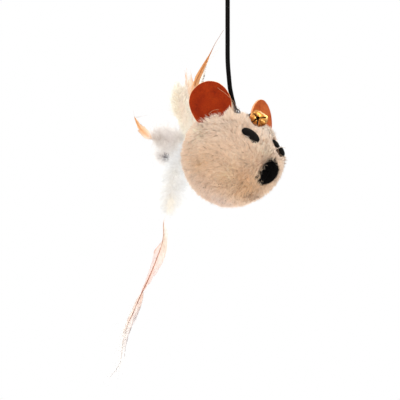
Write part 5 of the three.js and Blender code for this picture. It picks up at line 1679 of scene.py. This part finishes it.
    # white down, hanging
    line = feather_line(WHITE_LINE)
    Y = lambda y: at_px(line, y=y)
    milky = stops((0, WHITE), (Y(170), (0.94, 0.925, 0.90)), (Y(190), (0.94, 0.92, 0.89)), (Y(205), (0.94, 0.90, 0.84)), (1, WHITE))
    g = [web(line, rng, k(260), 0.08, 0.97, stops((0.05, 2.0), (Y(165), 4.4), (Y(180), 6.6), (Y(200), 6.6), (Y(210), 4.6), (1, 2.6)), stops((0, 76), (Y(190), 58), (1, 36)), 1, milky, WHITE, splits=(Y(176), Y(190), Y(203)), ragged=0.08, wave=0.10, behind=0.5),
         web(line, rng, k(260), 0.08, 0.97, stops((0.05, 2.0), (Y(165), 4.8), (Y(180), 7.6), (Y(198), 6.2), (Y(208), 3.6), (1, 2.2)), stops((0, 76), (Y(190), 58), (1, 36)), -1, milky, WHITE, splits=(Y(172), Y(187), Y(199)), ragged=0.08, wave=0.10, behind=0.5),
         down(line, rng, k(2700), 0.05, 1.0, stops((0, 5.0), (0.25, 7.8), (0.45, 9.4), (0.8, 9.0), (1.0, 4.8)), stops((0, 76), (0.6, 62), (0.85, 45), (1, 18)), 0, 0.12, 0.2, 34, 0.26, milky, WHITE, 30, 1.2, fall=0.2, clump=15, scatter=0.9),
         down(line, rng, k(200), Y(196), Y(210), stops((0, 3.8), (1, 3.8)), stops((0, 55), (1, 35)), -1, 0.14, 0.25, 40, 0.25, (0.93, 0.89, 0.82), (0.94, 0.92, 0.88), 16, 0.8, fall=0.2, ahead=4.0, scatter=0.8)]
    g.append(down(line, rng, k(500), 0.0, 0.07, stops((0, 5.2), (1, 5.2)), stops((0, 96), (0.07, 84)), 0, 0.12, -0.25, 60, 0.3, WHITE, WHITE, 24, 1.0, scatter=1.2))
    feather_piece("white_down", g, line, [0.30, 0.22, 0.10, 0.05], [PALE, WHITE, WHITE, WHITE], "tail_feathers", DOWN, ("white_plume",))
    # the long tail feather: a clear web down to two thirds, then loose barbs
    line = feather_line(TAIL_LINE, 800)
    Y = lambda y: at_px(line, y=y)
    rose = stops((Y(240), (0.80, 0.69, 0.62)), (Y(252), (0.78, 0.65, 0.61)), (Y(270), (0.80, 0.60, 0.54)), (Y(285), (0.76, 0.50, 0.41)), (Y(295), (0.70, 0.42, 0.31)))
    g = [
        web(line, rng, k(260), Y(241), Y(292), stops((Y(241), 0.2), (Y(246), 1.6), (Y(251), 3.0), (Y(256), 2.5), (Y(264), 1.8), (Y(277), 1.25), (Y(290), 1.0), (Y(296), 0.25)), stops((Y(241), 42), (Y(255), 22), (Y(292), 9)), 1,
            rose, stops((Y(241), (0.595, 0.328, 0.252)), (Y(246), (0.768, 0.564, 0.504)), (Y(252), (0.739, 0.61, 0.594)), (Y(292), (0.73, 0.564, 0.54))), splits=(Y(276),), ragged=0.02, bulge=0.08, camber=0.40),
        web(line, rng, k(280), Y(232), Y(290), stops((Y(232), 0.6), (Y(240), 2.3), (Y(249), 3.5), (Y(260), 3.7), (Y(271), 2.8), (Y(282), 1.8), (Y(291), 0.5)), stops((Y(232), 30), (Y(260), 20), (Y(290), 9)), -1,
            stops((Y(232), (0.845, 0.682, 0.54)), (Y(255), (0.806, 0.637, 0.567)), (Y(285), (0.73, 0.464, 0.378))), stops((Y(232), (0.845, 0.728, 0.63)), (Y(258), (0.816, 0.673, 0.648)), (Y(290), (0.768, 0.582, 0.54))), splits=(Y(262), Y(275)), ragged=0.03, bulge=0.10, camber=0.30),
        web(line, rng, k(200), Y(290), Y(345), stops((Y(290), 0.4), (Y(300), 1.9), (Y(315), 2.1), (Y(335), 2.0), (Y(348), 1.6)), stops((Y(290), 8), (Y(345), 12)), -1,
            stops((Y(290), (0.768, 0.491, 0.36)), (Y(305), (0.768, 0.619, 0.549)), (Y(330), (0.787, 0.719, 0.693))), (0.787, 0.728, 0.72), splits=(Y(303), Y(318), Y(330)), ragged=0.14, camber=0.45),
        web(line, rng, k(140), Y(293), Y(330), stops((Y(293), 0.3), (Y(305), 1.0), (Y(330), 1.1)), stops((Y(293), 7), (Y(330), 11)), 1, (0.864, 0.692, 0.594), (0.902, 0.801, 0.756), splits=(Y(304), Y(316)), ragged=0.16, camber=0.45),
        # long loose barbs down to the tip
        down(line, rng, k(40), Y(280), Y(312), stops((Y(280), 8.0), (Y(312), 12.0)), stops((Y(280), 12), (Y(312), 15)), 0, 0.10, 0.05, 45, 0.04, (0.84, 0.76, 0.74), (0.86, 0.84, 0.84), 8, 0.4),
        down(line, rng, k(330), Y(318), 0.985, stops((Y(318), 10.0), (Y(350), 11.0), (1, 8.0)), stops((Y(318), 12), (Y(350), 14), (1, 12)), 0, 0.12, 0.05, 42, 0.05,
             stops((Y(318), (0.93, 0.87, 0.82)), (Y(345), (0.92, 0.90, 0.88)), (1, (0.82, 0.82, 0.83))), (0.90, 0.89, 0.89), 10, 0.5),
        down(line, rng, k(180), Y(224), Y(246), stops((Y(224), 4.0), (Y(246), 6.5)), stops((Y(224), 40), (Y(246), 30)), -1, 0.10, -0.1, 30, 0.05, (0.94, 0.88, 0.80), (0.95, 0.91, 0.86), 12, 0.6),
        down(line, rng, k(500), 0.03, Y(215), stops((0, 4.0), (0.24, 5.0)), stops((0, 60), (0.24, 45)), 0, 0.10, 0.3, 40, 0.3, WHITE, WHITE, 18, 0.8),
        wisps(rng, [[[12.0, 34.6, -48.5], [14.0, 32.4, -49.4], [15.6, 31.0, -51.6]], [[9.9, 36.8, -99.0], [7.0, 40.0, -104.0], [4.6, 42.8, -108.6]], [[10.6, 33.6, -89.0], [8.6, 36.2, -96.0], [6.2, 39.0, -100.5]]], 0.09, (0.78, 0.74, 0.74))]
    feather_piece("tail_feather_vane", g, line, [0.34, 0.30, 0.25, 0.24, 0.23, 0.24, 0.22, 0.15, 0.07],
                  [PALE, (0.94, 0.88, 0.80), (0.90, 0.68, 0.48), (0.70, 0.40, 0.28), (0.60, 0.30, 0.19), (0.40, 0.16, 0.09), (0.45, 0.24, 0.16), (0.70, 0.60, 0.55), (0.66, 0.64, 0.64)],
                  "tail_feathers", FEATHER, ("tail_feather",))


make_feathers()

# the bundle of quill ends, whipped with thread


parts = []
rng = np.random.default_rng(8)
for i in range(11):
    a = i / 11 * 2 * math.pi
    r = 1.9 if i else 0.0
    base = np.array([r * math.cos(a), 22.0, r * math.sin(a)])
    top = np.array([r * 0.9 * math.cos(a), 27.2 + rng.uniform(-0.3, 0.9), r * 0.9 * math.sin(a)])
    parts.append(tube(f"quill_end_{i}", H(np.array([base, (base + top) / 2, top])), 0.62 * MM, sides=8))
turn = np.linspace(0, 2 * math.pi * 9, 500)
helix = np.stack([2.75 * np.cos(turn), 23.4 + turn / turn[-1] * 3.2, 2.75 * np.sin(turn)], 1)
parts.append(tube("quill_wrap", H(helix), 0.22 * MM, sides=8))
parts.append(tube("quill_glue", H(np.array([[0, 17.0, 0], [0, 22.0, 0], [0, 25.6, 0]])), np.array([2.4, 2.6, 2.3]) * MM, sides=24))
plug = joined("quill_bundle", parts)
finish_piece(plug, "mouse", TAN_THREAD, ("feather_plug",))

# ---------------------------------------------------------------- floor, light and air
floor_mesh = bpy.data.meshes.new("floor")
s = 0.7
floor_mesh.from_pydata([(-s, -s, -0.75), (s, -s, -0.75), (s, s, -0.75), (-s, s, -0.75)], [], [(0, 1, 2, 3)])
floor = bpy.data.objects.new("floor", floor_mesh)
bpy.context.collection.objects.link(floor)
n = Nodes("pale_floor")
f = n.noise(3.0, 2.0)
n.principled(Base_Color=n.ramp(f, (0.3, (0.86, 0.86, 0.86)), (0.7, (0.9, 0.9, 0.9))), Roughness=0.9, Emission_Color=(1, 1, 1), Emission_Strength=0.70, Specular_IOR_Level=0.1)
floor_mesh.materials.append(n.material)


def area_light(name, offset, size, power, colour=(1, 1, 1)):
    data = bpy.data.lights.new(name, "AREA")
    data.shape = "DISK"
    data.size = size
    data.energy = power
    data.color = colour
    o = bpy.data.objects.new(name, data)
    o.location = Vector(H([0, 0, 0]) + offset)
    o.rotation_euler = (Vector(-np.asarray(offset))).to_track_quat("-Z", "Y").to_euler()
    bpy.context.collection.objects.link(o)
    return o


UPV = np.array([0, 0, 1.0])
area_light("key", CAM_RIGHT * 0.15 + CAM_BACK * 0.45 + UPV * 1.0, 0.7, 5.4, (1.0, 0.985, 0.965))
area_light("fill", -CAM_RIGHT * 0.45 + CAM_BACK * 1.15 + UPV * 0.35, 0.9, 7.8)
area_light("bounce", CAM_RIGHT * 0.5 + CAM_BACK * 1.05 - UPV * 0.5, 0.9, 3.6, (1.0, 0.98, 0.95))
area_light("back", -CAM_BACK * 1.05 + CAM_RIGHT * 0.45 + UPV * 0.3, 0.9, 4.5)
area_light("side", -CAM_RIGHT * 0.9 - CAM_BACK * 0.65 + UPV * 0.3, 0.9, 4.5)
area_light("rim", CAM_RIGHT * 0.9 - CAM_BACK * 0.5 + UPV * 0.5, 0.5, 3.5)

world = bpy.data.worlds.new("air")
bpy.context.scene.world = world
world.use_nodes = True
wt = world.node_tree
wt.nodes.clear()
wo = wt.nodes.new("ShaderNodeOutputWorld")
seen = wt.nodes.new("ShaderNodeBackground")
seen.inputs[0].default_value = (1, 1, 1, 1)
seen.inputs[1].default_value = 1.0
lit = wt.nodes.new("ShaderNodeBackground")
sky = wt.nodes.new("ShaderNodeTexCoord")
split = wt.nodes.new("ShaderNodeSeparateXYZ")
wt.links.new(sky.outputs["Generated"], split.inputs[0])
shade = wt.nodes.new("ShaderNodeMapRange")
shade.inputs["From Min"].default_value = -0.7
shade.inputs["From Max"].default_value = 0.8
shade.inputs["To Min"].default_value = 0.36
shade.inputs["To Max"].default_value = 0.95
wt.links.new(split.outputs["Z"], shade.inputs["Value"])
wt.links.new(shade.outputs[0], lit.inputs[1])
lit.inputs[0].default_value = (1.0, 0.985, 0.96, 1)
which = wt.nodes.new("ShaderNodeLightPath")
mixed = wt.nodes.new("ShaderNodeMixShader")
wt.links.new(which.outputs["Is Camera Ray"], mixed.inputs[0])
wt.links.new(lit.outputs[0], mixed.inputs[1])
wt.links.new(seen.outputs[0], mixed.inputs[2])
wt.links.new(mixed.outputs[0], wo.inputs["Surface"])
bpy.context.scene.view_settings.view_transform = "Standard"
